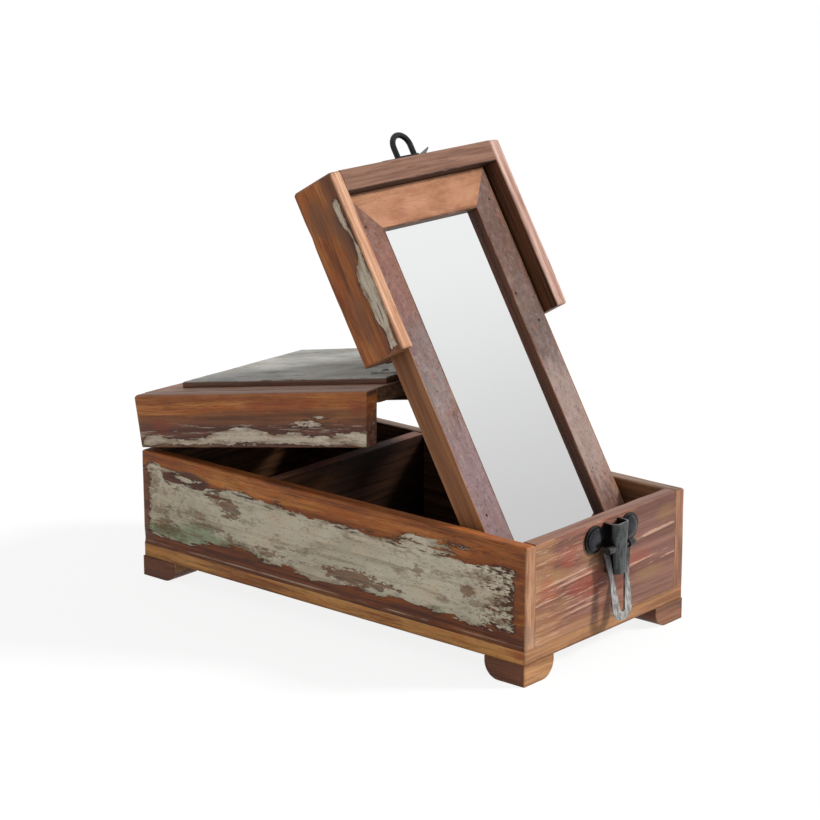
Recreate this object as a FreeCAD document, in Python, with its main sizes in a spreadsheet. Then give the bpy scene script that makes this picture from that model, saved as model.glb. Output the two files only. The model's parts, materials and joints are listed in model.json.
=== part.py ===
import FreeCAD, Part
import Sketcher
import os
import re

# A travelling barber's box of reclaimed boards. The base is a tray on four feet. Its lid is cut
# across: the rear half is hinged to the back of the base, and the front half is a short hood hinged
# on top of the rear half. A long mirror frame is fixed in the hood and reaches back under the rear
# half when the lid is shut. Shown open: the hood is swung up, the tail of the mirror frame stands
# inside the front of the base, and the rear half rests a little raised.
#
# Millimetres and degrees. X runs across the box, Y along it with the hasp at the -Y end, Z up.
# The origin is on the floor under the middle of the base. Pieces of the lid are drawn in the shut
# position and turned about the hinge axes by their placements.

SIZES = [
    # base
    ("box_length", 360, "outside length of the base"),
    ("box_width", 182, "outside width of the base"),
    ("wall_thickness", 11, "side and end boards"),
    ("wall_height", 72, "side and end boards of the base"),
    ("bottom_thickness", 10, "bottom board, under all four walls"),
    ("foot_height", 15, "bottom board above the floor"),
    ("foot_length", 34, "foot along the box"),
    ("foot_width", 32, "foot across the box"),
    ("foot_round", 12, "rounding of the inner edges under a foot"),
    ("partition_thickness", 10, "cross board inside the base"),
    ("partition_room", 108, "clear length of the rear compartment"),
    ("partition_drop", 1, "top of the partition below the rim"),
    ("edge_ease", 1.5, "rounding of worn outer edges"),
    # lid
    ("lid_gap", 0.5, "shut lid above the rim"),
    ("lid_height", 39.5, "side boards of the lid"),
    ("rear_lid_share", 0.6472, "rear half's share of the box's length, along its top"),
    ("joint_rake", 8, "rear half's side boards, shorter by this below than above"),
    ("half_gap", 0.5, "saw cut between the halves"),
    ("hood_overhang", 3, "front half beyond the base, a lip to lift it by"),
    ("hood_end_thickness", 16, "end board of the front half"),
    ("top_thickness", 11, "top board of the front half"),
    ("tail_clearance", 0.8, "rear half's top board, thinner by this over the mirror tail"),
    ("panel_thickness", 4.5, "painted panel planted on the top boards"),
    ("panel_inset", 26, "ledge round the painted panel"),
    ("lid_tilt", 10.58, "rear half raised, as it rests open"),
    # mirror frame
    ("frame_room", 5.8, "frame from the hood's side boards"),
    ("tail_gap", 0.5, "tail of the frame above the floor of the base"),
    ("tail_room", 2.2, "tail of the frame behind the front end"),
    ("tail_toe", 9.7, "front edge of the tail above the floor of the base"),
    ("frame_thickness", 18.4, "stiles and rails, front to back"),
    ("stile_width", 24.2, "face of a stile"),
    ("rail_width", 28, "face of a rail"),
    ("frame_end_play", 0.3, "top rail from the hood's end board"),
    ("rebate_width", 5, "seat of the glass behind the frame's inner edge"),
    ("glass_depth", 4.8, "glass behind the face of the frame"),
    ("glass_thickness", 3, "mirror glass"),
    ("glass_play", 0.3, "glass in its rebate, each side"),
    ("backboard_thickness", 3.5, "board behind the glass"),
    # butt hinges
    ("hinge_width", 30, "a leaf along the pin"),
    ("leaf_thickness", 1.2, "hinge leaves"),
    ("hinge_pin_radius", 1.5, "hinge pins"),
    ("pin_play", 0.05, "pin in its knuckles, all round"),
    ("knuckle_play", 0.3, "between knuckles, along the pin"),
    ("knuckle_lift", 0.2, "knuckles clear of the board that they lie on"),
    ("back_knuckle_radius", 4, "back hinges"),
    ("back_leaf_reach", 27, "back hinges, pin to leaf end"),
    ("back_hinge_inset", 41, "middle of a back hinge from the box's side"),
    ("mid_knuckle_radius", 2.8, "hinges between the halves"),
    ("mid_leaf_reach", 27, "hinges between the halves, pin to leaf end"),
    ("mid_hinge_inset", 56, "middle of a hinge between the halves, from the box's side"),
    ("mid_hinge_setback", 4.5, "their pins behind the joint of the halves"),
    # hasp
    ("strap_thickness", 1.5, "iron of the hasp"),
    ("hasp_place", 3, "hasp and staple off the middle of the box"),
    ("lobe_drop", 12, "middle of the round lobes below the rim"),
    ("lobe_radius", 9.8, "round ends of the bridge"),
    ("lobe_place", 20, "lobes off the middle of the hasp"),
    ("neck_height", 14, "bridge beside the lobes"),
    ("horn_half_width", 8.7, "half the width of the bridge's horn at its top"),
    ("horn_low_half", 6, "half the width of the horn at its low end"),
    ("horn_height", 36, "horn from its top to its low end"),
    ("horn_depth", 11, "horn in front of the end board"),
    ("horn_round_share", 0.84, "rounding of the horn's front, as a share of its low half width"),
    ("horn_drop", 2.8, "top of the horn below the rim"),
    ("hasp_pin_drop", 20, "hasp pin below the rim"),
    ("hasp_pin_radius", 1.4, "hasp pin"),
    ("hasp_knuckle_radius", 2.6, "rolled knuckles of the hasp"),
    ("hasp_room", 0.5, "strap swung up in front of the horn"),
    ("hasp_tilt", 8, "strap hangs out from the upright"),
    ("hasp_half_width", 15, "strap at its knuckles"),
    ("hasp_shoulder", 4, "straight sides below the pin"),
    ("hasp_waist", 22, "pin to where the sides run straight again"),
    ("hasp_tip_radius", 10.8, "round end of the strap"),
    ("hasp_length", 52, "pin to the end of the strap"),
    ("eye_room", 0.6, "strap's opening beside the low end of the horn"),
    ("eye_drop", 2, "strap's opening clear of the horn, below it"),
    ("slot_half_width", 2.6, "strap's opening at its far end, for the staple"),
    ("slot_bottom", 46, "pin to the far end of the opening"),
    # turning staple
    ("staple_drop", 27.5, "staple below the top of the lid"),
    ("wire_radius", 2.1, "wire of the staple"),
    ("staple_half", 8.8, "half the distance between its legs"),
    ("staple_height", 21.5, "loop above the end board"),
    ("foot_bar_height", 2, "bar that joins its legs"),
    ("foot_bar_half_width", 2.5, "half the width of that bar"),
    ("turn_play", 0.2, "bar above its plate"),
    ("pivot_radius", 3, "pivot in the end board"),
    ("pivot_depth", 9, "pivot in the end board"),
    ("plate_thickness", 1.2, "plate under the staple"),
    ("plate_half_length", 26, "plate under the staple"),
    ("plate_half_height", 7, "plate under the staple"),
    ("plate_flat_half", 12, "middle of the plate, before its points"),
    ("plate_curl", 6, "one point of the plate bent up"),
    ("plate_lift", 2, "the other point, bent up a little"),
    # drawing aids
    ("overrun", 2, "cutters beyond the faces that they cut"),
]

SAME_PLACE = 1e-4

doc = FreeCAD.newDocument("barber_box")
sheet = doc.addObject("Spreadsheet::Sheet", "sizes")
for row, (alias, number, meaning) in enumerate(SIZES, 1):
    sheet.set(f"A{row}", alias)
    sheet.set(f"B{row}", str(number))
    sheet.setAlias(f"B{row}", alias)
    sheet.set(f"C{row}", meaning)
doc.recompute()

ALIASES = {alias for alias, number, meaning in SIZES}
PIECES = []

# Places worked out from the sizes
HALF_LENGTH = "(box_length / 2)"
HALF_WIDTH = "(box_width / 2)"
INSIDE_WIDTH = "(box_width - 2 * wall_thickness)"
BASE_LOW = "(foot_height + bottom_thickness)"
RIM = f"({BASE_LOW} + wall_height)"
LID_LOW = f"({RIM} + lid_gap)"
LID_TOP = f"({LID_LOW} + lid_height)"
REAR_LENGTH = "(box_length * rear_lid_share)"
JOINT = f"({HALF_LENGTH} - {REAR_LENGTH})"
HOOD_BACK = f"({JOINT} - half_gap)"
HOOD_FRONT = f"(-{HALF_LENGTH} - hood_overhang)"
HOOD_LENGTH = f"({HOOD_BACK} - {HOOD_FRONT})"
PANEL_TOP = f"({LID_TOP} + panel_thickness)"
BACK_AXIS_Y = f"({HALF_LENGTH} + back_knuckle_radius + knuckle_lift)"
BACK_AXIS_Z = f"({RIM} + lid_gap / 2)"
MID_AXIS_Y = f"({JOINT} + mid_hinge_setback)"
MID_AXIS_Z = f"({PANEL_TOP} + mid_knuckle_radius + knuckle_lift)"
FRAME_TOP = f"({HOOD_FRONT} + hood_end_thickness + frame_end_play)"
FRAME_TAIL = "pose.frame_tail"
FRAME_LENGTH = f"({FRAME_TAIL} - {FRAME_TOP})"
FRAME_BACK = f"({LID_TOP} - top_thickness)"
FRAME_FACE = f"({FRAME_BACK} - frame_thickness)"
FRAME_HALF = f"({INSIDE_WIDTH} / 2 - frame_room)"
OPENING_HALF = f"({FRAME_HALF} - stile_width)"
REBATE_HALF = f"({OPENING_HALF} + rebate_width)"
OPENING_TOP = f"({FRAME_TOP} + rail_width)"
OPENING_TAIL = f"({FRAME_TAIL} - rail_width)"
# The open pose: where the middle hinge comes to rest, how far the hood turns for the frame's tail
# to stand behind the front end, and where the frame ends to stand just over the floor
AXIS_RUN = f"({MID_AXIS_Y} - {BACK_AXIS_Y})"
AXIS_RISE = f"({MID_AXIS_Z} - {BACK_AXIS_Z})"
TAIL_RUN = f"(pose.mid_axis_y + {HALF_LENGTH} - wall_thickness - tail_room)"
TAIL_FALL = f"(pose.mid_axis_z - {BASE_LOW} - tail_toe)"
TAIL_TURN = "(lid_tilt + pose.mirror_opening)"
POSE = [
    ("mid_axis_y", f"{BACK_AXIS_Y} + {AXIS_RUN} * cos(lid_tilt) + {AXIS_RISE} * sin(lid_tilt)"),
    ("mid_axis_z", f"{BACK_AXIS_Z} - {AXIS_RUN} * sin(lid_tilt) + {AXIS_RISE} * cos(lid_tilt)"),
    ("mirror_opening",
     f"(180 deg - atan2({TAIL_FALL}; {TAIL_RUN}) - asin(({MID_AXIS_Z} - {FRAME_FACE})"
     f" / sqrt({TAIL_FALL} ^ 2 + {TAIL_RUN} ^ 2))) / 1 deg - lid_tilt"),
    ("frame_tail",
     f"{MID_AXIS_Y} + (pose.mid_axis_z + ({FRAME_BACK} - {MID_AXIS_Z}) * cos({TAIL_TURN})"
     f" - {BASE_LOW} - tail_gap) / sin({TAIL_TURN})"),
]
REAR_SWING = (
    "placement(vector(0; 0; 0); rotation(vector(1; 0; 0); -lid_tilt);"
    f" vector(0; {BACK_AXIS_Y}; {BACK_AXIS_Z}))"
)
HOOD_SWING = (
    f"{REAR_SWING} * placement(vector(0; 0; 0); rotation(vector(1; 0; 0); -pose.mirror_opening);"
    f" vector(0; {MID_AXIS_Y}; {MID_AXIS_Z}))"
)
# Turns that stand a cylinder's axis along X or along -Y
ALONG_X = "rotation(vector(0; 1; 0); 90)"
ALONG_FRONT = "rotation(vector(1; 0; 0); 90)"
UPRIGHT = "rotation(vector(0; 0; 1); 0)"
HALF_TURN = "rotation(vector(0; 0; 1); 180)"
HASP_SHIFT = f"placement(vector(hasp_place; 0; 0); {UPRIGHT})"


def bound(text):
    """Expression text with each size name turned into a reference to its cell."""

    def refer(match):
        word = match.group(0)
        return f"sizes.{word}" if word in ALIASES else word

    return re.sub("[a-z_]+", refer, text)


def place(piece, x="0", y="0", z="0", turn=UPRIGHT, swing=None):
    text = f"placement(vector({x}; {y}; {z}); {turn})"
    if swing:
        text = f"{swing} * {text}"
    piece.setExpression("Placement", bound(text))
    return piece


def swung(piece, swing):
    if swing:
        piece.setExpression("Placement", bound(swing))
    return piece


def keep(piece, label):
    """Hand a finished piece in as a sub-part under its own label."""
    piece.Label = label
    PIECES.append(piece)
    return piece


pose = doc.addObject("App::VarSet", "pose")
for value, text in POSE:
    pose.addProperty("App::PropertyFloat", value, "Pose")
    pose.setExpression(value, bound(text))
    doc.recompute()


# Parts made by sketch and pad


def outline(body, plane, corners):
    """Closed sketch on one of the body's own planes, with every corner tied to the sizes."""
    sketch = body.newObject("Sketcher::SketchObject", f"{body.Name}_outline")
    support = [item for item in body.Origin.OriginFeatures if item.Role == plane]
    sketch.AttachmentSupport = [(support[0], "")]
    sketch.MapMode = "FlatFace"
    count = len(corners)
    spots = [FreeCAD.Rotation(index * 360 / count, 0, 0).multVec(FreeCAD.Vector(1, 0, 0))
             for index in range(count)]
    for index in range(count):
        sketch.addGeometry(Part.LineSegment(spots[index], spots[(index + 1) % count]), False)
    for index in range(count):
        sketch.addConstraint(Sketcher.Constraint("Coincident", index, 2, (index + 1) % count, 1))
    for index, (across, along) in enumerate(corners):
        for kind, text, guess in (
            ("DistanceX", across, spots[index].x),
            ("DistanceY", along, spots[index].y),
        ):
            number = sketch.addConstraint(Sketcher.Constraint(kind, -1, 1, index, 1, guess))
            sketch.setExpression(f"Constraints[{number}]", bound(text))
    return sketch


def rectangle(across, along):
    return [("0", "0"), (across, "0"), (across, along), ("0", along)]


def padded(label, plane, corners, depth):
    body = doc.addObject("PartDesign::Body", label)
    sketch = outline(body, plane, corners)
    pad = body.newObject("PartDesign::Pad", f"{label}_pad")
    pad.Profile = sketch
    pad.setExpression("Length", bound(depth))
    return body


def ease(body, radius, picks):
    """Round the edges where two named sides meet, such as -x+z."""
    doc.recompute()
    base = body.Tip
    box = base.Shape.BoundBox
    sides = {
        "-x": ("x", box.XMin), "+x": ("x", box.XMax),
        "-y": ("y", box.YMin), "+y": ("y", box.YMax),
        "-z": ("z", box.ZMin), "+z": ("z", box.ZMax),
    }
    names = []
    for number, edge in enumerate(base.Shape.Edges, 1):
        middle = edge.CenterOfMass
        for pick in picks:
            meets = [sides[pick[:2]], sides[pick[2:]]]
            if all(abs(getattr(middle, axis) - limit) < SAME_PLACE for axis, limit in meets):
                names.append(f"Edge{number}")
    return add_fillet(body, names, radius)


def round_front(body, radius):
    """Round the two edges that run up the front of a body."""
    doc.recompute()
    shape = body.Tip.Shape
    names = [
        f"Edge{number}" for number, edge in enumerate(shape.Edges, 1)
        if abs(edge.BoundBox.YMax - shape.BoundBox.YMin) < SAME_PLACE
        and edge.BoundBox.ZLength > SAME_PLACE
    ]
    return add_fillet(body, names, radius)


def add_fillet(body, names, radius):
    base = body.Tip
    fillet = body.newObject("PartDesign::Fillet", f"{body.Name}_eased")
    fillet.Base = (base, names)
    fillet.setExpression("Radius", bound(radius))
    return body


def board(label, size, corner, swing=None, eased=(), radius="edge_ease"):
    """Straight board: its size and its low corner along X, Y and Z."""
    body = padded(label, "XY_Plane", rectangle(size[0], size[1]), size[2])
    if eased:
        ease(body, radius, eased)
    return place(body, *corner, swing=swing)


# Parts made of primitives


def cylinder(name, radius, height, spot, turn=UPRIGHT, sweep=None):
    item = doc.addObject("Part::Cylinder", name)
    item.setExpression("Radius", bound(radius))
    item.setExpression("Height", bound(height))
    if sweep:
        item.Angle = sweep
    return place(item, *spot, turn=turn)


def block(name, size, spot):
    item = doc.addObject("Part::Box", name)
    for side, text in zip(("Length", "Width", "Height"), size):
        item.setExpression(side, bound(text))
    return place(item, *spot)


def fuse(name, items):
    item = doc.addObject("Part::MultiFuse", name)
    item.Shapes = items
    return item


def cut(name, base, tool):
    item = doc.addObject("Part::Cut", name)
    item.Base = base
    item.Tool = tool
    return item


def common(name, base, tool):
    item = doc.addObject("Part::Common", name)
    item.Base = base
    item.Tool = tool
    return item


def group(name, items):
    item = doc.addObject("Part::Compound", name)
    item.Links = items
    return item


SIDES = (("left", "-1"), ("right", "1"))


def on_side(sign, width, outer=HALF_WIDTH):
    """Low X of a piece of this width that is flush with the outer face of one side."""
    return f"-{outer}" if sign == "-1" else f"{outer} - ({width})"


# Base


def make_base():
    for side, sign in SIDES:
        out = "-x" if sign == "-1" else "+x"
        inner = "+x" if sign == "-1" else "-x"
        wall = board(
            f"base_side_{side}",
            ("wall_thickness", "box_length", "wall_height"),
            (on_side(sign, "wall_thickness"), f"-{HALF_LENGTH}", BASE_LOW),
            eased=(f"{out}+z", f"{inner}+z", f"{out}-y", f"{out}+y"),
        )
        keep(wall, f"base_side_{side}")
    for end, low, eased in (
        ("front", f"-{HALF_LENGTH}", ("-y+z", "+y+z")),
        ("back", f"{HALF_LENGTH} - wall_thickness", ("+y+z",)),
    ):
        wall = board(
            f"base_{end}_end",
            (INSIDE_WIDTH, "wall_thickness", "wall_height"),
            (f"-{INSIDE_WIDTH} / 2", low, BASE_LOW),
            eased=eased,
        )
        keep(wall, f"base_{end}_end")
    bottom = board(
        "base_bottom",
        ("box_width", "box_length", "bottom_thickness"),
        (f"-{HALF_WIDTH}", f"-{HALF_LENGTH}", "foot_height"),
    )
    keep(bottom, "base_bottom")
    partition = board(
        "base_partition",
        (INSIDE_WIDTH, "partition_thickness", "wall_height - partition_drop"),
        (f"-{INSIDE_WIDTH} / 2",
         f"{HALF_LENGTH} - wall_thickness - partition_room - partition_thickness", BASE_LOW),
    )
    keep(partition, "base_partition")
    for side, sign in SIDES:
        for end, low in (("front", f"-{HALF_LENGTH}"), ("back", f"{HALF_LENGTH} - foot_length")):
            inner_x = "+x" if sign == "-1" else "-x"
            inner_y = "+y" if end == "front" else "-y"
            foot = board(
                f"foot_{end}_{side}",
                ("foot_width", "foot_length", "foot_height"),
                (on_side(sign, "foot_width"), low, "0"),
                eased=(f"{inner_x}-z", f"{inner_y}-z"),
                radius="foot_round",
            )
            keep(foot, f"foot_{end}_{side}")


# Rear half of the lid


def make_rear_lid():
    for side, sign in SIDES:
        out = "-x" if sign == "-1" else "+x"
        corners = [
            (HALF_LENGTH, LID_LOW),
            (HALF_LENGTH, LID_TOP),
            (JOINT, LID_TOP),
            (f"{JOINT} + joint_rake", LID_LOW),
        ]
        wall = padded(f"lid_side_{side}", "YZ_Plane", corners, "wall_thickness")
        ease(wall, "edge_ease", (f"{out}+z", f"{out}-z", f"{out}+y"))
        place(wall, x=on_side(sign, "wall_thickness"), swing=REAR_SWING)
        keep(wall, f"lid_side_{side}")
    back = board(
        "lid_back_end",
        (INSIDE_WIDTH, "wall_thickness", "lid_height"),
        (f"-{INSIDE_WIDTH} / 2", f"{HALF_LENGTH} - wall_thickness", LID_LOW),
        swing=REAR_SWING,
        eased=("+y+z", "+y-z"),
    )
    keep(back, "lid_back_end")
    top = board(
        "lid_top_board",
        (INSIDE_WIDTH, f"{REAR_LENGTH} - wall_thickness", "top_thickness - tail_clearance"),
        (f"-{INSIDE_WIDTH} / 2", JOINT, f"{LID_TOP} - top_thickness + tail_clearance"),
        swing=REAR_SWING,
    )
    keep(top, "lid_top_board")
    panel = board(
        "lid_raised_panel",
        ("box_width - 2 * panel_inset", f"{REAR_LENGTH} - panel_inset - mid_hinge_setback",
         "panel_thickness"),
        (f"panel_inset - {HALF_WIDTH}", f"{JOINT} + mid_hinge_setback", LID_TOP),
        swing=REAR_SWING,
        eased=("-x+z", "+x+z", "+y+z"),
    )
    keep(panel, "lid_raised_panel")


# Front half of the lid: the hood


def make_hood():
    for side, sign in SIDES:
        out = "-x" if sign == "-1" else "+x"
        inner = "+x" if sign == "-1" else "-x"
        wall = board(
            f"hood_side_{side}",
            ("wall_thickness", HOOD_LENGTH, "lid_height"),
            (on_side(sign, "wall_thickness"), HOOD_FRONT, LID_LOW),
            swing=HOOD_SWING,
            eased=(f"{out}+z", f"{out}-z", f"{inner}-z", f"{out}-y"),
        )
        keep(wall, f"hood_side_{side}")
    end = board(
        "hood_end_blank",
        (INSIDE_WIDTH, "hood_end_thickness", "lid_height"),
        (f"-{INSIDE_WIDTH} / 2", HOOD_FRONT, LID_LOW),
        eased=("-y+z", "-y-z", "+y-z"),
    )
    pivot_hole = cylinder(
        "pivot_hole", "pivot_radius + pin_play", "pivot_depth + turn_play + overrun",
        ("hasp_place", f"{HOOD_FRONT} + pivot_depth + turn_play", f"{LID_TOP} - staple_drop"),
        turn=ALONG_FRONT,
    )
    keep(swung(cut("hood_end", end, pivot_hole), HOOD_SWING), "hood_end")
    top = board(
        "hood_top_board",
        (INSIDE_WIDTH, f"{HOOD_LENGTH} - hood_end_thickness", "top_thickness"),
        (f"-{INSIDE_WIDTH} / 2", f"{HOOD_FRONT} + hood_end_thickness",
         f"{LID_TOP} - top_thickness"),
        swing=HOOD_SWING,
    )
    keep(top, "hood_top_board")
    panel = board(
        "hood_raised_panel",
        ("box_width - 2 * panel_inset", f"{HOOD_LENGTH} - panel_inset", "panel_thickness"),
        (f"panel_inset - {HALF_WIDTH}", f"{HOOD_FRONT} + panel_inset", LID_TOP),
        swing=HOOD_SWING,
        eased=("-x+z", "+x+z", "-y+z"),
    )
    keep(panel, "hood_raised_panel")


# Mirror frame, its glass and the board behind it


def make_frame():
    outlines = {
        "frame_stile_left": [
            (f"-{FRAME_HALF}", FRAME_TOP), (f"-{FRAME_HALF}", FRAME_TAIL),
            (f"-{OPENING_HALF}", OPENING_TAIL), (f"-{OPENING_HALF}", OPENING_TOP),
        ],
        "frame_stile_right": [
            (FRAME_HALF, FRAME_TOP), (FRAME_HALF, FRAME_TAIL),
            (OPENING_HALF, OPENING_TAIL), (OPENING_HALF, OPENING_TOP),
        ],
        "frame_rail_top": [
            (f"-{FRAME_HALF}", FRAME_TOP), (FRAME_HALF, FRAME_TOP),
            (OPENING_HALF, OPENING_TOP), (f"-{OPENING_HALF}", OPENING_TOP),
        ],
        "frame_rail_bottom": [
            (f"-{FRAME_HALF}", FRAME_TAIL), (FRAME_HALF, FRAME_TAIL),
            (OPENING_HALF, OPENING_TAIL), (f"-{OPENING_HALF}", OPENING_TAIL),
        ],
    }
    for label, corners in outlines.items():
        blank = padded(f"{label}_blank", "XY_Plane", corners, "frame_thickness")
        place(blank, z=FRAME_FACE)
        room = block(
            f"{label}_rebate",
            (f"2 * {REBATE_HALF}", f"{OPENING_TAIL} - {OPENING_TOP} + 2 * rebate_width",
             "frame_thickness"),
            (f"-{REBATE_HALF}", f"{OPENING_TOP} - rebate_width", f"{FRAME_FACE} + glass_depth"),
        )
        keep(swung(cut(label, blank, room), HOOD_SWING), label)
    pane = (f"2 * {REBATE_HALF} - 2 * glass_play",
            f"{OPENING_TAIL} - {OPENING_TOP} + 2 * rebate_width - 2 * glass_play")
    pane_low = (f"glass_play - {REBATE_HALF}", f"{OPENING_TOP} - rebate_width + glass_play")
    glass = board(
        "mirror_glass", (*pane, "glass_thickness"),
        (*pane_low, f"{FRAME_FACE} + glass_depth"), swing=HOOD_SWING,
    )
    keep(glass, "mirror_glass")
    backboard = board(
        "mirror_backboard", (*pane, "backboard_thickness"),
        (*pane_low, f"{FRAME_FACE} + glass_depth + glass_thickness"), swing=HOOD_SWING,
    )
    keep(backboard, "mirror_backboard")


# Butt hinges: drawn with the pin along X through the origin, the boards below at -Z,
# the first leaf towards +Y with the two outer knuckles, the second towards -Y with the middle one


def make_leaf(name, radius, reach, direction, knuckles):
    """One hinge leaf: plate, webs and knuckles, bored for the pin."""
    low = f"-{radius} - knuckle_lift"
    near = f"{radius} + knuckle_play"
    plate_low = near if direction == "1" else f"-{reach}"
    solids = [
        block(f"{name}_plate", ("hinge_width", f"{reach} - ({near})", "leaf_thickness"),
              ("-hinge_width / 2", plate_low, low)),
    ]
    for number, (start, width) in enumerate(knuckles, 1):
        solids.append(cylinder(f"{name}_knuckle_{number}", radius, width, (start, "0", "0"),
                               turn=ALONG_X))
        web_low = "0" if direction == "1" else f"-({near})"
        solids.append(block(f"{name}_web_{number}", (width, near, "leaf_thickness"),
                            (start, web_low, low)))
    bore = cylinder(f"{name}_bore", "hinge_pin_radius + pin_play", "hinge_width + 2 * overrun",
                    ("-hinge_width / 2 - overrun", "0", "0"), turn=ALONG_X)
    return cut(name, fuse(f"{name}_solid", solids), bore)


def make_pin(name):
    """Hinge pin, flush with the ends of the outer knuckles."""
    return cylinder(name, "hinge_pin_radius", "hinge_width", ("-hinge_width / 2", "0", "0"),
                    turn=ALONG_X)


THIRD = "(hinge_width / 3)"
OUTER_KNUCKLES = (
    ("-hinge_width / 2", f"{THIRD} - knuckle_play"),
    (f"{THIRD} / 2 + knuckle_play", f"{THIRD} - knuckle_play"),
)
MIDDLE_KNUCKLE = ((f"-{THIRD} / 2", THIRD),)


def make_hinges(prefix, radius, reach, inset, spot, turn, first, second):
    """A pair of hinges; first and second are (name, swing) of what each leaf is fixed to."""
    for side, sign in SIDES:
        at = (f"{sign} * ({HALF_WIDTH} - {inset})", *spot)
        for (part, swing), direction, knuckles in (
            (first, "1", OUTER_KNUCKLES),
            (second, "-1", MIDDLE_KNUCKLE),
        ):
            label = f"{prefix}_leaf_{part}_{side}"
            leaf = make_leaf(label, radius, reach, direction, knuckles)
            keep(place(leaf, *at, turn=turn, swing=swing), label)
        label = f"{prefix}_pin_{side}"
        pin = group(label, [make_pin(f"{label}_rod")])
        keep(place(pin, *at, turn=turn, swing=first[1]), label)


# Hasp on the front end of the base, drawn in the middle of the box and shifted to its place

HASP_FACE = f"(-{HALF_LENGTH})"
LOBE_Z = f"({RIM} - lobe_drop)"
PIN_Z = f"({RIM} - hasp_pin_drop)"
PIN_Y = f"({HASP_FACE} - horn_depth + hasp_knuckle_radius)"
HORN_TOP = f"({RIM} - horn_drop)"
HORN_LOW = f"({HORN_TOP} - horn_height)"
HORN_ROUND = "(horn_low_half * horn_round_share)"
HASP_BORE = ("hasp_pin_radius + pin_play", "2 * hasp_half_width + 2 * overrun",
             ("-hasp_half_width - overrun", PIN_Y, PIN_Z))


def tapered(levels):
    """Outline that is alike on both sides, from its half width and height at each level down."""
    right = [(f"({half})", level) for half, level in levels]
    return [(f"-{half}", level) for half, level in right] + right[::-1]


def make_bridge():
    """Bridge: a tapering half-round horn, open behind and at both ends, with two round lobes."""
    outer = padded("horn_outer", "XZ_Plane",
                   tapered([("horn_half_width", HORN_TOP), ("horn_low_half", HORN_LOW)]), "horn_depth")
    place(round_front(outer, HORN_ROUND), y=HASP_FACE)
    hollow = [("horn_half_width - strap_thickness", f"{HORN_TOP} + overrun"),
              ("horn_low_half - strap_thickness", f"{HORN_LOW} - overrun")]
    inner = padded("horn_inner", "XZ_Plane", tapered(hollow),
                   "horn_depth - strap_thickness + overrun")
    place(round_front(inner, f"{HORN_ROUND} - strap_thickness"), y=f"{HASP_FACE} + overrun")
    solids = [cut("horn_wall", outer, inner)]
    for side, sign in SIDES:
        across = f"{sign} * lobe_place"
        solids.append(cylinder(f"bridge_lobe_{side}", "lobe_radius", "strap_thickness",
                               (across, HASP_FACE, LOBE_Z), turn=ALONG_FRONT))
        neck_x = "horn_half_width - strap_thickness" if sign == "1" else "-lobe_place"
        solids.append(block(
            f"bridge_neck_{side}",
            ("lobe_place - horn_half_width + strap_thickness", "strap_thickness", "neck_height"),
            (neck_x, f"{HASP_FACE} - strap_thickness", f"{LOBE_Z} - neck_height / 2"),
        ))
    bridge = cut("hasp_bridge", fuse("bridge_solid", solids),
                 cylinder("bridge_bore", *HASP_BORE, turn=ALONG_X))
    keep(swung(bridge, HASP_SHIFT), "hasp_bridge")


def make_hasp():
    make_bridge()
    pin = cylinder("hasp_pin_rod", "hasp_pin_radius", "2 * hasp_half_width",
                   ("-hasp_half_width", PIN_Y, PIN_Z), turn=ALONG_X)
    keep(swung(group("hasp_pin", [pin]), HASP_SHIFT), "hasp_pin")
    make_strap()


def make_strap():
    """Swinging strap: a flat plate behind the pin, cut to its outline, with an opening that passes
    round the horn and narrows to a slot for the staple."""
    plate_y = f"({PIN_Y} + hasp_knuckle_radius + hasp_room)"
    tip_z = f"({PIN_Z} - hasp_length + hasp_tip_radius)"
    shape = tapered([
        ("hasp_half_width", PIN_Z), ("hasp_half_width", f"{PIN_Z} - hasp_shoulder"),
        ("hasp_tip_radius", f"{PIN_Z} - hasp_waist"), ("hasp_tip_radius", tip_z),
    ])
    sides = padded("strap_sides", "XZ_Plane", shape, "strap_thickness")
    place(sides, y=f"{plate_y} + strap_thickness")
    tip = cylinder("strap_tip", "hasp_tip_radius", "strap_thickness",
                   ("0", f"{plate_y} + strap_thickness", tip_z), turn=ALONG_FRONT)
    eye_half = "horn_half_width + knuckle_play"
    knuckle_width = f"hasp_half_width - ({eye_half})"
    solids = [sides, tip]
    for side, start in (("right", eye_half), ("left", "-hasp_half_width")):
        solids.append(cylinder(f"strap_knuckle_{side}", "hasp_knuckle_radius", knuckle_width,
                               (start, PIN_Y, PIN_Z), turn=ALONG_X))
        solids.append(block(f"strap_roll_{side}",
                            (knuckle_width, "hasp_room + strap_thickness + hasp_knuckle_radius / 2",
                             "strap_thickness"),
                            (start, f"{PIN_Y} + hasp_knuckle_radius / 2", PIN_Z)))
    cutter_depth = "strap_thickness + 2 * overrun"
    cutter_y = f"{plate_y} + strap_thickness + overrun"
    slot_end = f"({PIN_Z} - slot_bottom + slot_half_width)"
    eye = padded("strap_eye", "XZ_Plane", tapered([
        (eye_half, f"{PIN_Z} + overrun"), (eye_half, PIN_Z),
        ("horn_low_half + eye_room", f"{HORN_LOW} - eye_drop"), ("slot_half_width", slot_end),
    ]), cutter_depth)
    tools = [
        place(eye, y=cutter_y),
        cylinder("strap_slot_end", "slot_half_width", cutter_depth, ("0", cutter_y, slot_end),
                 turn=ALONG_FRONT),
        cylinder("strap_bore", *HASP_BORE, turn=ALONG_X),
    ]
    strap = cut("hasp_strap", fuse("strap_solid", solids), fuse("strap_tools", tools))
    hang = ("placement(vector(hasp_place; 0; 0); rotation(vector(1; 0; 0); -hasp_tilt);"
            f" vector(0; {PIN_Y}; {PIN_Z}))")
    keep(swung(strap, hang), "hasp_strap")


# Turning staple on the hood's end board

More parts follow.
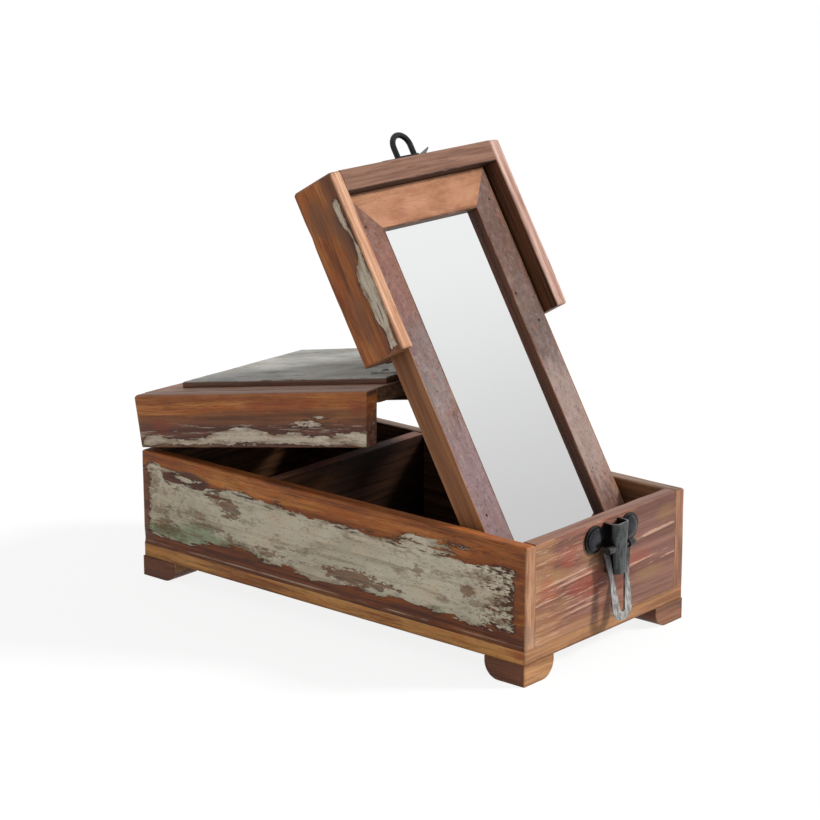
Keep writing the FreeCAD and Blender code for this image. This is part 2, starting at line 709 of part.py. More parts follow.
STAPLE_SWING = f"{HOOD_SWING} * {HASP_SHIFT}"
STAPLE_Z = f"({LID_TOP} - staple_drop)"
BAR_FACE = f"({HOOD_FRONT} - plate_thickness - turn_play)"
LOOP_Y = f"({HOOD_FRONT} - staple_height + staple_half + wire_radius)"


def make_staple():
    flat = [
        ("-plate_half_length", f"{HOOD_FRONT} - plate_lift"),
        ("-plate_flat_half", HOOD_FRONT), ("plate_flat_half", HOOD_FRONT),
        ("plate_half_length", f"{HOOD_FRONT} - plate_curl"),
        ("plate_half_length", f"{HOOD_FRONT} - plate_curl - plate_thickness"),
        ("plate_flat_half", f"{HOOD_FRONT} - plate_thickness"),
        ("-plate_flat_half", f"{HOOD_FRONT} - plate_thickness"),
        ("-plate_half_length", f"{HOOD_FRONT} - plate_lift - plate_thickness"),
    ]
    bent = padded("staple_plate_bend", "XY_Plane", flat, "2 * plate_half_height")
    place(bent, z=f"{STAPLE_Z} - plate_half_height")
    points = [
        ("-plate_half_length", "0"), ("-plate_flat_half", "plate_half_height"),
        ("plate_flat_half", "plate_half_height"), ("plate_half_length", "0"),
        ("plate_flat_half", "-plate_half_height"), ("-plate_flat_half", "-plate_half_height"),
    ]
    shape = padded("staple_plate_shape", "XZ_Plane", points, "2 * plate_half_length")
    place(shape, y=HOOD_FRONT, z=STAPLE_Z)
    hole = cylinder("staple_plate_hole", "pivot_radius + pin_play", "plate_half_length",
                    ("0", f"{HOOD_FRONT} + overrun", STAPLE_Z), turn=ALONG_FRONT)
    plate = cut("staple_plate", common("staple_plate_blank", bent, shape), hole)
    keep(swung(plate, STAPLE_SWING), "staple_plate")
    arch = doc.addObject("Part::Torus", "staple_arch")
    arch.setExpression("Radius1", bound("staple_half"))
    arch.setExpression("Radius2", bound("wire_radius"))
    arch.Angle3 = 180
    place(arch, y=LOOP_Y, z=STAPLE_Z, turn=HALF_TURN)
    legs = [
        cylinder(f"staple_leg_{side}", "wire_radius", f"{BAR_FACE} - {LOOP_Y}",
                 (f"{sign} * staple_half", BAR_FACE, STAPLE_Z), turn=ALONG_FRONT)
        for side, sign in SIDES
    ]
    bar = block("staple_bar",
                ("2 * staple_half + 2 * wire_radius", "foot_bar_height", "2 * foot_bar_half_width"),
                ("-staple_half - wire_radius", f"{BAR_FACE} - foot_bar_height",
                 f"{STAPLE_Z} - foot_bar_half_width"))
    pivot = cylinder("staple_pivot", "pivot_radius", f"pivot_depth + {HOOD_FRONT} - {BAR_FACE}",
                     ("0", f"{HOOD_FRONT} + pivot_depth", STAPLE_Z), turn=ALONG_FRONT)
    keep(swung(fuse("staple", [arch, *legs, bar, pivot]), STAPLE_SWING), "staple")


def check_and_write():
    doc.recompute()
    for item in doc.Objects:
        if {"Invalid", "Error"} & set(item.State):
            raise RuntimeError(f"{item.Label} failed: {item.State}")
    for piece in PIECES:
        if piece.Shape.isNull() or not piece.Shape.isValid():
            raise RuntimeError(f"{piece.Label} has no valid shape")
    os.makedirs("parts", exist_ok=True)
    for piece in PIECES:
        piece.Shape.exportStep(f"parts/{piece.Label}.step")


make_base()
make_rear_lid()
make_hood()
make_frame()
make_hinges("back_hinge", "back_knuckle_radius", "back_leaf_reach", "back_hinge_inset",
            (BACK_AXIS_Y, BACK_AXIS_Z), "rotation(vector(1; 0; 0); -90)",
            ("base", None), ("lid", REAR_SWING))
make_hinges("mid_hinge", "mid_knuckle_radius", "mid_leaf_reach", "mid_hinge_inset",
            (MID_AXIS_Y, MID_AXIS_Z), UPRIGHT, ("lid", REAR_SWING), ("hood", HOOD_SWING))
make_hasp()
make_staple()
check_and_write()
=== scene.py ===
import json
import math
import bmesh
import bpy
from itertools import product
from mathutils import Matrix, Vector, noise

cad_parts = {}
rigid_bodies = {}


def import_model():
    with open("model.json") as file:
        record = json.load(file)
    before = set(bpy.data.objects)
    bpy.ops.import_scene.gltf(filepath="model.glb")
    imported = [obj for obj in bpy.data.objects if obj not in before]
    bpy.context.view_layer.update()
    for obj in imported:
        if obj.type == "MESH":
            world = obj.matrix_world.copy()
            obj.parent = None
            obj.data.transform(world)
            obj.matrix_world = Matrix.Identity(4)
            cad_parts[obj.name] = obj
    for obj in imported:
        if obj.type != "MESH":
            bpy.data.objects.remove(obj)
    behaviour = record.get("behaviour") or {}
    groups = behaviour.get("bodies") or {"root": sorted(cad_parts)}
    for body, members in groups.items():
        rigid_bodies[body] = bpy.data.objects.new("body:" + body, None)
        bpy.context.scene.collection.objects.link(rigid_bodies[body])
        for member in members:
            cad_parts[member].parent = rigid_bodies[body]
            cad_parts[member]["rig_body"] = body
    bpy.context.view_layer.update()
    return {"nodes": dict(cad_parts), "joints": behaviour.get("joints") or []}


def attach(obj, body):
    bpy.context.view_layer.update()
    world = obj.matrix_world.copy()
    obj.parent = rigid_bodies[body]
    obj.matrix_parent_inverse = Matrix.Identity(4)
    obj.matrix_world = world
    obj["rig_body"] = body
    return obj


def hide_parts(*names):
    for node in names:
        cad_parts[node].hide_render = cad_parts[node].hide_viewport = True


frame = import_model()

# A travelling barber's box of reclaimed painted boards, its lid folded up into a standing mirror.
# Metres and degrees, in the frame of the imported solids. Finishes are drawn in the coordinates of
# the shut box, where every board is square to the axes.

MM = 0.001
LID_TILT = 10.58  # rear half at rest, from shut
MIRROR_OPENING = 109.605  # hood at rest, from in line with the rear half
LID_RAKE = 8  # slope of the rear half's front ends, in millimetres
LEAF = 1.2 * MM  # thickness of a hinge leaf
SCREW_INSET, SCREW_SHIFT = 8 * MM, 9 * MM  # from a leaf's free edge and from its middle
HASP_X, CLOUT_Y, CLOUT_Z, CLOUT_SHIFT = 3, -181.5, 85, 20  # in millimetres
# Nails in each stile: distance from the top end and from the middle of the box, in millimetres
FRAME_NAILS = {"left": ((24, 67), (236, 66)), "right": ((24, 67), (95, 53.5), (118, 66))}
EDGE_STEPS = (0, 0.7, 1.5, 2.6, 4.2)  # grid of a worn board near its edges, in millimetres
GRID_STEP = 9 * MM
DENT = 0.35 * MM
SHARP = math.radians(38)  # edges that turn by less are shaded smooth
CAMERA_PLACE = (-1.408026, -1.199798, 0.645270)
CAMERA_TURN = (-49.64, 15.27, 0.06)  # azimuth, elevation, roll
CAMERA_LENS = 117.544


# The shut box


def joint_place(name):
    return next(Vector(joint["pos_m"]) for joint in frame["joints"] if joint["name"] == name)


def turn_about(place, degrees):
    """Turn about an axis along X through a place."""
    turn = Matrix.Rotation(math.radians(degrees), 4, "X")
    return Matrix.Translation(place) @ turn @ Matrix.Translation(-place)


REAR_SHUT = turn_about(joint_place("lid_hinge"), LID_TILT)
HOOD_SHUT = REAR_SHUT @ turn_about(joint_place("mirror_hinge"), MIRROR_OPENING)
SHUT = {
    "base": Matrix.Identity(4),
    "hasp_strap": Matrix.Identity(4),
    "rear_lid": REAR_SHUT,
    "mirror_lid": HOOD_SHUT,
    "turn_staple": HOOD_SHUT,
}


def body_of(node):
    return frame["nodes"][node]["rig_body"]


def shut_box(node):
    """Lowest and highest corner of a node when the box is shut."""
    turn = SHUT[body_of(node)]
    corners = [turn @ vertex.co for vertex in frame["nodes"][node].data.vertices]
    return tuple(Vector([pick(corner[axis] for corner in corners) for axis in range(3)])
                 for pick in (min, max))


# Short calls for shader nodes


def tone(red, green, blue):
    """Linear colour of a display colour from 0 to 255."""
    def linear(value):
        share = value / 255
        return share / 12.92 if share <= 0.04045 else ((share + 0.055) / 1.055) ** 2.4
    return (linear(red), linear(green), linear(blue), 1.0)


def new_material(name):
    material = bpy.data.materials.new(name)
    material.use_nodes = True
    material.node_tree.nodes.clear()
    return material


class Tree:
    """Builds one node tree, with sockets or values as inputs; three numbers are a display colour."""

    def __init__(self, tree):
        self.tree = tree

    def node(self, kind, inputs=None, **settings):
        node = self.tree.nodes.new(f"ShaderNode{kind}")
        for name, value in settings.items():
            setattr(node, name, value)
        for name, value in (inputs or {}).items():
            self.feed(node.inputs[name], value)
        return node

    def feed(self, socket, value):
        if isinstance(value, bpy.types.NodeSocket):
            self.tree.links.new(value, socket)
        elif socket.type == "RGBA" and len(value) == 3:
            socket.default_value = tone(*value)
        else:
            socket.default_value = value

    def math(self, operation, *values):
        node = self.node("Math", dict(enumerate(values)), operation=operation)
        return node.outputs[0]

    def vector(self, operation, *values):
        node = self.node("VectorMath", dict(enumerate(values)), operation=operation)
        return node.outputs["Vector"]

    def least(self, first, *others):
        for other in others:
            first = self.math("MINIMUM", first, other)
        return first

    def most(self, first, *others):
        for other in others:
            first = self.math("MAXIMUM", first, other)
        return first

    def product(self, first, *others):
        for other in others:
            first = self.math("MULTIPLY", first, other)
        return first

    def less(self, first, second):
        return self.math("SUBTRACT", first, second)

    def sum(self, first, *others):
        for other in others:
            first = self.math("ADD", first, other)
        return first

    def band(self, value, start, end):
        """0 before start, 1 after end, smooth between."""
        if start > end:
            return self.math("SUBTRACT", 1.0, self.band(value, end, start))
        node = self.node("MapRange", {"Value": value, "From Min": start, "From Max": end},
                         interpolation_type="SMOOTHSTEP")
        return node.outputs["Result"]

    def along(self, value, start, end):
        """Band between two distances in millimetres."""
        return self.band(value, start * MM, end * MM)

    def swing(self, value, *shares):
        """Noise moved to either side of zero and scaled."""
        return self.product(self.less(value, 0.5), *shares)

    def mix(self, share, first, second, blend="MIX"):
        node = self.node("Mix", {0: share, 6: first, 7: second}, data_type="RGBA", blend_type=blend)
        return node.outputs[2]

    def noise(self, place, stretch, detail=3.0, roughness=0.55):
        """Noise whose grain along each axis is about one part in stretch of a metre."""
        scaled = self.vector("MULTIPLY", place, stretch)
        inputs = {"Vector": scaled, "Scale": 1.0, "Detail": detail, "Roughness": roughness}
        return self.node("TexNoise", inputs).outputs["Fac"]

    def curve(self, value, points):
        node = self.node("FloatCurve", {"Value": value})
        line = node.mapping.curves[0]
        while len(line.points) < len(points):
            line.points.new(0.5, 0.5)
        for point, (across, up) in zip(line.points, points):
            point.location = (across, up)
        node.mapping.update()
        return node.outputs["Value"]


def node_group(name, inputs, outputs):
    """New node group with its sockets; gives its tree, its inputs and its output node."""
    group = bpy.data.node_groups.new(name, "ShaderNodeTree")
    for direction, sockets in (("INPUT", inputs), ("OUTPUT", outputs)):
        for label, kind in sockets:
            group.interface.new_socket(name=label, in_out=direction, socket_type=f"NodeSocket{kind}")
    entry = group.nodes.new("NodeGroupInput")
    leave = group.nodes.new("NodeGroupOutput")
    return group, Tree(group), entry.outputs, leave


# Grain and paint, shared by all boards


def make_old_wood():
    """Old wood: bands and streaks along the grain, fibres, dark cracks, pores and mottling."""
    group, tree, given, leave = node_group(
        "old_wood",
        (("Grain", "Vector"), ("Dark", "Color"), ("Mid", "Color"), ("Light", "Color"),
         ("Stain", "Color"), ("Figure", "Float")),
        (("Color", "Color"), ("Height", "Float")),
    )
    grain = given["Grain"]
    sway = tree.swing(tree.noise(grain, (7, 26, 26), 2.0), given["Figure"], 0.02)
    bent = tree.vector("ADD", grain, tree.node("CombineXYZ", {"Y": sway, "Z": sway}).outputs[0])
    bands = tree.noise(bent, (3, 60, 60), 4.0, 0.6)
    streaks = tree.noise(bent, (6, 210, 210), 5.0, 0.66)
    fibres = tree.noise(bent, (36, 1100, 1100), 3.0, 0.65)
    blotches = tree.noise(grain, (15, 34, 34), 4.0, 0.62)
    level = tree.sum(
        tree.swing(bands, 1.2), tree.swing(streaks, 2.0),
        tree.swing(fibres, 1.1), tree.swing(blotches, 0.9), 0.5,
    )
    colour = tree.mix(tree.band(level, -0.05, 0.5), given["Dark"], given["Mid"])
    colour = tree.mix(tree.band(level, 0.5, 1.0), colour, given["Light"])
    stains = tree.noise(bent, (10, 60, 60), 4.0, 0.65)
    colour = tree.mix(tree.product(tree.band(stains, 0.53, 0.68), 0.75), colour, given["Stain"])
    for shift, tint in ((0.37, RED_CAST), (0.83, OLIVE_CAST)):
        patch = tree.noise(tree.vector("ADD", grain, (shift, shift, shift)), (55, 130, 130), 4.0, 0.66)
        colour = tree.mix(tree.product(tree.band(patch, 0.5, 0.66), 0.7), colour, tint, "MULTIPLY")
    lines = tree.noise(bent, (5, 280, 280), 2.0, 0.5)
    reach = tree.noise(grain, (20, 60, 60), 3.0)
    crack = tree.product(tree.band(tree.math("ABSOLUTE", tree.less(lines, 0.5)), 0.02, 0.004),
                         tree.band(reach, 0.48, 0.6))
    pores = tree.band(tree.noise(bent, (130, 1500, 1500), 2.0, 0.5), 0.42, 0.3)
    dark = tree.most(tree.product(crack, 0.75), tree.product(pores, 0.5))
    colour = tree.mix(dark, colour, DARK_CAST, "MULTIPLY")
    tree.feed(leave.inputs["Color"], colour)
    height = tree.sum(tree.product(streaks, 0.6), tree.product(fibres, 0.5), tree.product(dark, -0.8))
    tree.feed(leave.inputs["Height"], height)
    return group


def make_worn_paint():
    """Flaking paint: a field with ragged edges, chips, stains, brush lines and a dark outline of dirt
    and painted shadow.
    """
    group, tree, given, leave = node_group(
        "worn_paint",
        (("Grain", "Vector"), ("Field", "Float"), ("Ragged", "Float"), ("Chips", "Float"),
         ("Pale", "Color"), ("Grey", "Color"), ("Tint", "Color"), ("Dirt", "Color"),
         ("Tint share", "Float")),
        (("Mask", "Float"), ("Outline", "Float"), ("Color", "Color"), ("Height", "Float")),
    )
    grain = given["Grain"]
    ragged = tree.sum(
        tree.swing(tree.noise(grain, (30, 110, 110), 3.0, 0.55), 13 * MM),
        tree.swing(tree.noise(grain, (80, 430, 430), 3.0, 0.6), 7 * MM),
        tree.swing(tree.noise(grain, (330, 1000, 1000), 2.0, 0.6), 3.6 * MM),
    )
    within = tree.sum(given["Field"], tree.product(ragged, given["Ragged"]))
    field = tree.along(within, -0.1, 0.15)
    flakes = tree.noise(grain, (130, 380, 380), 4.0, 0.66)
    frail = tree.sum(tree.product(given["Chips"], 0.36), tree.product(tree.along(within, 5, 0), 0.09),
                     0.13)
    mask = tree.product(field, tree.band(tree.less(flakes, frail), 0.0, 0.02))
    tree.feed(leave.inputs["Mask"], mask)
    # Outline: dark band just outside the paint's edge, dirt and painted shadow under the paint's step
    broken = tree.band(tree.noise(grain, (45, 110, 110), 3.0), 0.38, 0.54)
    tree.feed(leave.inputs["Outline"], tree.product(tree.along(within, -1.8, -0.3), broken))
    patches = tree.noise(grain, (16, 38, 38), 4.0, 0.6)
    colour = tree.mix(tree.band(patches, 0.36, 0.64), given["Grey"], given["Pale"])
    tints = tree.noise(grain, (24, 60, 60), 4.0, 0.62)
    wash = tree.product(tree.band(tree.sum(tints, given["Tint share"]), 0.6, 0.9), 0.85)
    colour = tree.mix(wash, colour, given["Tint"])
    warm = tree.noise(tree.vector("ADD", grain, (0.51, 0.51, 0.51)), (30, 70, 70), 4.0, 0.65)
    colour = tree.mix(tree.product(tree.band(warm, 0.5, 0.66), 0.6), colour, WARM_CAST, "MULTIPLY")
    brush = tree.noise(grain, (12, 480, 480), 4.0, 0.65)
    colour = tree.mix(tree.product(tree.band(brush, 0.5, 0.3), 0.45), colour, given["Dirt"])
    specks = tree.noise(grain, (330, 800, 800), 3.0, 0.6)
    colour = tree.mix(tree.product(tree.band(specks, 0.57, 0.68), 0.5), colour, given["Dirt"])
    soil = tree.noise(grain, (36, 120, 120), 5.0, 0.7)
    colour = tree.mix(tree.product(tree.band(soil, 0.52, 0.68), 0.6), colour, given["Dirt"])
    halo = tree.product(tree.along(within, 4, 0),
                        tree.band(tree.noise(grain, (50, 160, 160), 3.0), 0.4, 0.6))
    colour = tree.mix(tree.product(halo, 0.6), colour, given["Dirt"])
    tree.feed(leave.inputs["Color"], colour)
    height = tree.sum(tree.product(mask, 1.0), tree.product(brush, 0.35), tree.product(specks, -0.3))
    tree.feed(leave.inputs["Height"], height)
    return group


# Casts multiply a colour; woods are dark, middle and light grain, and stain
RED_CAST = (1.0, 0.74, 0.6, 1)
OLIVE_CAST = (0.86, 0.9, 0.64, 1)
DARK_CAST = (0.3, 0.24, 0.2, 1)
WARM_CAST = (1.0, 0.9, 0.8, 1)
OLD_WOOD = make_old_wood()
WORN_PAINT = make_worn_paint()
WOODS = {
    "orange": ((94, 48, 24), (176, 104, 54), (214, 142, 80), (106, 54, 32)),
    # darker copy of orange for the far side, painted shade against the sun that falls on it
    "shaded_orange": ((82, 54, 38), (140, 96, 65), (168, 124, 88), (98, 63, 46)),
    "brown": ((78, 46, 32), (138, 90, 62), (164, 112, 76), (98, 58, 42)),
    "foot": ((72, 40, 26), (114, 68, 46), (140, 88, 60), (84, 46, 32)),
    "golden": ((140, 88, 48), (214, 152, 90), (234, 182, 118), (160, 88, 52)),
    "mauve": ((92, 68, 60), (128, 102, 94), (146, 124, 118), (104, 70, 62)),
    "tan": ((132, 84, 60), (172, 122, 94), (198, 150, 120), (146, 92, 70)),
    "red": ((84, 48, 40), (138, 94, 80), (166, 122, 102), (116, 62, 50)),
    "ledge": ((92, 58, 44), (146, 108, 90), (172, 136, 116), (112, 70, 56)),
    "dark": ((62, 42, 30), (90, 62, 44), (120, 84, 58), (70, 44, 30)),
    # near-black wood, painted shade for faces deep inside the box
    "black": ((24, 15, 11), (38, 25, 18), (54, 35, 25), (28, 17, 13)),
}
SAGE = {"Pale": (236, 225, 200), "Grey": (216, 206, 182), "Tint": (168, 184, 152), "Dirt": (122, 92, 66)}
# darker copy of SAGE for the far side and back, painted shade against the light on them
SHADED_SAGE = {"Pale": (206, 197, 176), "Grey": (184, 175, 154), "Tint": (156, 168, 142), "Dirt": (104, 78, 56)}
CREAM = {"Pale": (236, 220, 198), "Grey": (216, 202, 180), "Tint": (196, 190, 168),
         "Dirt": (130, 98, 74)}
STONE = {"Pale": (196, 195, 190), "Grey": (166, 165, 160), "Tint": (158, 164, 154),
         "Dirt": (112, 104, 96)}
UMBER = (58, 34, 24)
GRAIN_ORDER = {"x": (0, 2, 1), "y": (1, 2, 0)}  # along, across and into the board


class Board(Tree):
    """Finish of one board, built up from bare wood by layers in the shut box's coordinates."""

    def __init__(self, node, wood, grain="y", seed=0.0, figure=0.5):
        self.name = node
        self.low, self.high = shut_box(node)
        self.material = new_material(f"{node}_finish")
        super().__init__(self.material.node_tree)
        self.parts = self.shut_place()
        order = GRAIN_ORDER[grain]
        along, across, deep = (self.parts[axis] for axis in order)
        shifted = {"X": self.sum(along, seed), "Y": self.sum(across, seed * 0.7), "Z": deep}
        self.grain = self.node("CombineXYZ", shifted).outputs[0]
        self.grain_axis = order[0]
        names = ("Dark", "Mid", "Light", "Stain")
        bare = self.group(OLD_WOOD, {"Grain": self.grain, "Figure": figure,
                                     **dict(zip(names, WOODS[wood]))})
        self.colour = bare["Color"]
        self.height = self.product(bare["Height"], 0.6)
        self.rough = self.sum(self.product(bare["Height"], 0.25), 0.42)

    def shut_place(self):
        """X, Y and Z of a point in the shut box, as sockets."""
        place = self.node("TexCoord").outputs["Object"]
        turn = SHUT[body_of(self.name)]
        angle = turn.to_euler("XYZ").x
        if angle:
            inputs = {"Vector": place, "Angle": angle}
            place = self.node("VectorRotate", inputs, rotation_type="X_AXIS").outputs[0]
            place = self.vector("ADD", place, turn.to_translation())
        split = self.node("SeparateXYZ", {"Vector": place})
        return [split.outputs[axis] for axis in range(3)]

    def group(self, group, inputs):
        return self.node("Group", inputs, node_tree=group).outputs

    def grained(self, stretch, detail=3.0, roughness=0.55):
        return self.noise(self.grain, stretch, detail, roughness)

    def patchy(self, stretch, start, end, detail=3.0, roughness=0.55):
        """Mask that is full where noise along the grain is past end."""
        return self.band(self.grained(stretch, detail, roughness), start, end)

    def wander(self, stretch, reach):
        """Noise about zero, in millimetres."""
        return self.swing(self.grained(stretch, 4.0, 0.62), reach * MM)

    def frayed(self, value, stretch, reach, start, end):
        """Band between two distances in millimetres, its edge broken along the grain."""
        return self.along(self.sum(value, self.wander(stretch, reach)), start, end)

    def depth(self, axis, side):
        """Distance from one face of the board's box."""
        if side < 0:
            return self.less(self.parts[axis], self.low[axis])
        return self.less(self.high[axis], self.parts[axis])

    def face(self, axis, side, reach=1.2):
        """Mask of the layer under one face, as deep as its dents."""
        return self.band(self.depth(axis, side), reach * MM, 0.4 * reach * MM)

    def edge(self):
        """Distance from the nearest edge of the board's box."""
        depths = [self.most(0.0, self.least(self.depth(axis, -1), self.depth(axis, 1)))
                  for axis in range(3)]
        low = self.least(depths[0], depths[1])
        high = self.most(depths[0], depths[1])
        return self.most(low, self.least(high, depths[2]))

    def cover(self, mask, colour, share=None, rise=0.0, rough=None):
        if share is not None:
            mask = self.product(mask, share)
        self.colour = self.mix(mask, self.colour, colour)
        if rise:
            self.height = self.sum(self.height, self.product(mask, rise))
        if rough is not None:
            change = self.product(self.less(rough, self.rough), mask)
            self.rough = self.sum(self.rough, change)

    def shade(self, mask, cast, share=None):
        """Darken or tint by multiplying, so that the grain stays in view."""
        if share is not None:
            mask = self.product(mask, share)
        self.colour = self.mix(mask, self.colour, cast, "MULTIPLY")

    def streaked(self, first, second, stretch=(7, 230, 230)):
        """Colour that runs between two tones along the grain."""
        return self.mix(self.patchy(stretch, 0.34, 0.66, 5.0, 0.65), first, second)

    def end_grain(self, first, second, stretch=(1, 30, 300)):
        for side in (-1, 1):
            self.side(self.grain_axis, side, first, second, 0.9, stretch)

    def side(self, axis, side, first, second, share=0.85, stretch=(7, 230, 230)):
        """One face of the board in tones of its own."""
        colour = self.streaked(first, second, stretch)
        self.cover(self.face(axis, side), colour, share)

    def rubbed(self, colour, width=1.2, share=0.5):
        """Lighter arris where hands have worn the edges, here and there."""
        arris = self.frayed(self.edge(), (60, 200, 200), 4, width, 0.0)
        self.cover(self.product(arris, self.patchy((24, 50, 50), 0.4, 0.6)), colour, share)

    def grime(self, width, share):
        """Dirt that gathers along the seams."""
        self.shade(self.frayed(self.edge(), (30, 90, 90), 9, width, 0.0), DARK_CAST, share)

    def stain(self, mask, colour, share):
        """Colour over part of the board, broken up along the grain."""
        broken = self.sum(mask, self.swing(self.grained((14, 150, 150), 4.0, 0.64), 2.0))
        self.cover(self.band(broken, 0.25, 0.75), colour, share)

    def spot(self, run, up, oval, soft=1.2, ragged=5):
        """Mask of a ragged oval; oval is middle and half sizes in millimetres."""
        return self.frayed(self.oval(run, up, oval), (45, 170, 170), ragged, soft, -soft)

    def spots(self, run, up, ovals, colour, share, soft):
        for oval in ovals:
            self.cover(self.spot(run, up, oval, soft), colour, share)

    def smudge(self, face, run, up, oval, colour, share):
        """Dirt rubbed softly into the surface and broken by the grain; oval as for spot."""
        reach = self.sum(self.oval(run, up, oval), self.wander((40, 150, 150), 12),
                         self.wander((230, 620, 620), 14))
        mask = self.along(reach, 0.2, -1.0)
        self.cover(self.product(mask, self.face(*face)), colour, share)

    def flecks(self, mask, colour, share):
        """Thin broken flecks along the grain."""
        thin = self.patchy((42, 620, 620), 0.56, 0.64, 4.0, 0.66)
        self.cover(self.product(thin, mask), colour, share)

    def inside(self, axis, side, light=0.0, wood="dark"):
        """Dark, oiled wood on the face that looks into the box, lighter where light is above 0: painted
        light where the lamp reaches in.
        """
        dark = WOODS[wood]
        colour = self.streaked(dark[0], dark[2], (9, 330, 330))
        if light:
            # Painted light: lighter, lit wood mixed in where light is above 0
            colour = self.mix(light, colour, self.streaked((92, 58, 36), (150, 104, 68)))
        self.cover(self.face(axis, side, 0.3), colour)

    def oval(self, run, up, spot):
        """Distance outside an oval, in metres; spot is middle and half sizes in millimetres."""
        middle_run, middle_up, half_run, half_up = (value * MM for value in spot)
        across = self.math("DIVIDE", self.less(run, middle_run), half_run)
        along = self.math("DIVIDE", self.less(up, middle_up), half_up)
        reach = self.math("SQRT", self.sum(self.product(across, across), self.product(along, along)))
        return self.product(self.less(reach, 1.0), min(half_run, half_up))

    def strip(self, run, up, length, height, top, low):
        """Distance inside a strip between two drawn lines, all in millimetres."""
        share = self.math("DIVIDE", run, length * MM)
        lines = []
        for points in (top, low):
            scaled = [(along / length, rise / height) for along, rise in points]
            lines.append(self.product(self.curve(share, scaled), height * MM))
        start, end = top[0][0] * MM, top[-1][0] * MM
        return self.least(self.less(lines[0], up), self.less(up, lines[1]), self.less(run, start),
                          self.less(end, run))

    def paint(self, face, field, colours, chips=0.3, tint=0.0, ragged=1.0, outline=0.8, rough=0.58):
        coat = self.group(WORN_PAINT, {"Grain": self.grain, "Field": field, "Chips": chips,
                                       "Ragged": ragged, "Tint share": tint, **colours})
        side = self.face(*face)
        # Dark outline along the paint's edge: dirt, and painted shadow under the paint's step
        self.cover(self.product(coat["Outline"], side), UMBER, outline)
        self.cover(self.product(coat["Mask"], side), coat["Color"], rise=1.2,
                   rough=self.sum(self.product(coat["Height"], 0.1), rough))

    def finish(self):
        bump = self.node("Bump", {"Height": self.height, "Distance": 0.4 * MM, "Strength": 0.8})
        surface = self.node("BsdfPrincipled", {
            "Base Color": self.colour, "Roughness": self.rough, "Normal": bump.outputs[0],
            "Specular IOR Level": 0.3,
        })
        self.node("OutputMaterial", {"Surface": surface.outputs[0]})
        frame["nodes"][self.name].material_slots[0].material = self.material


# Base


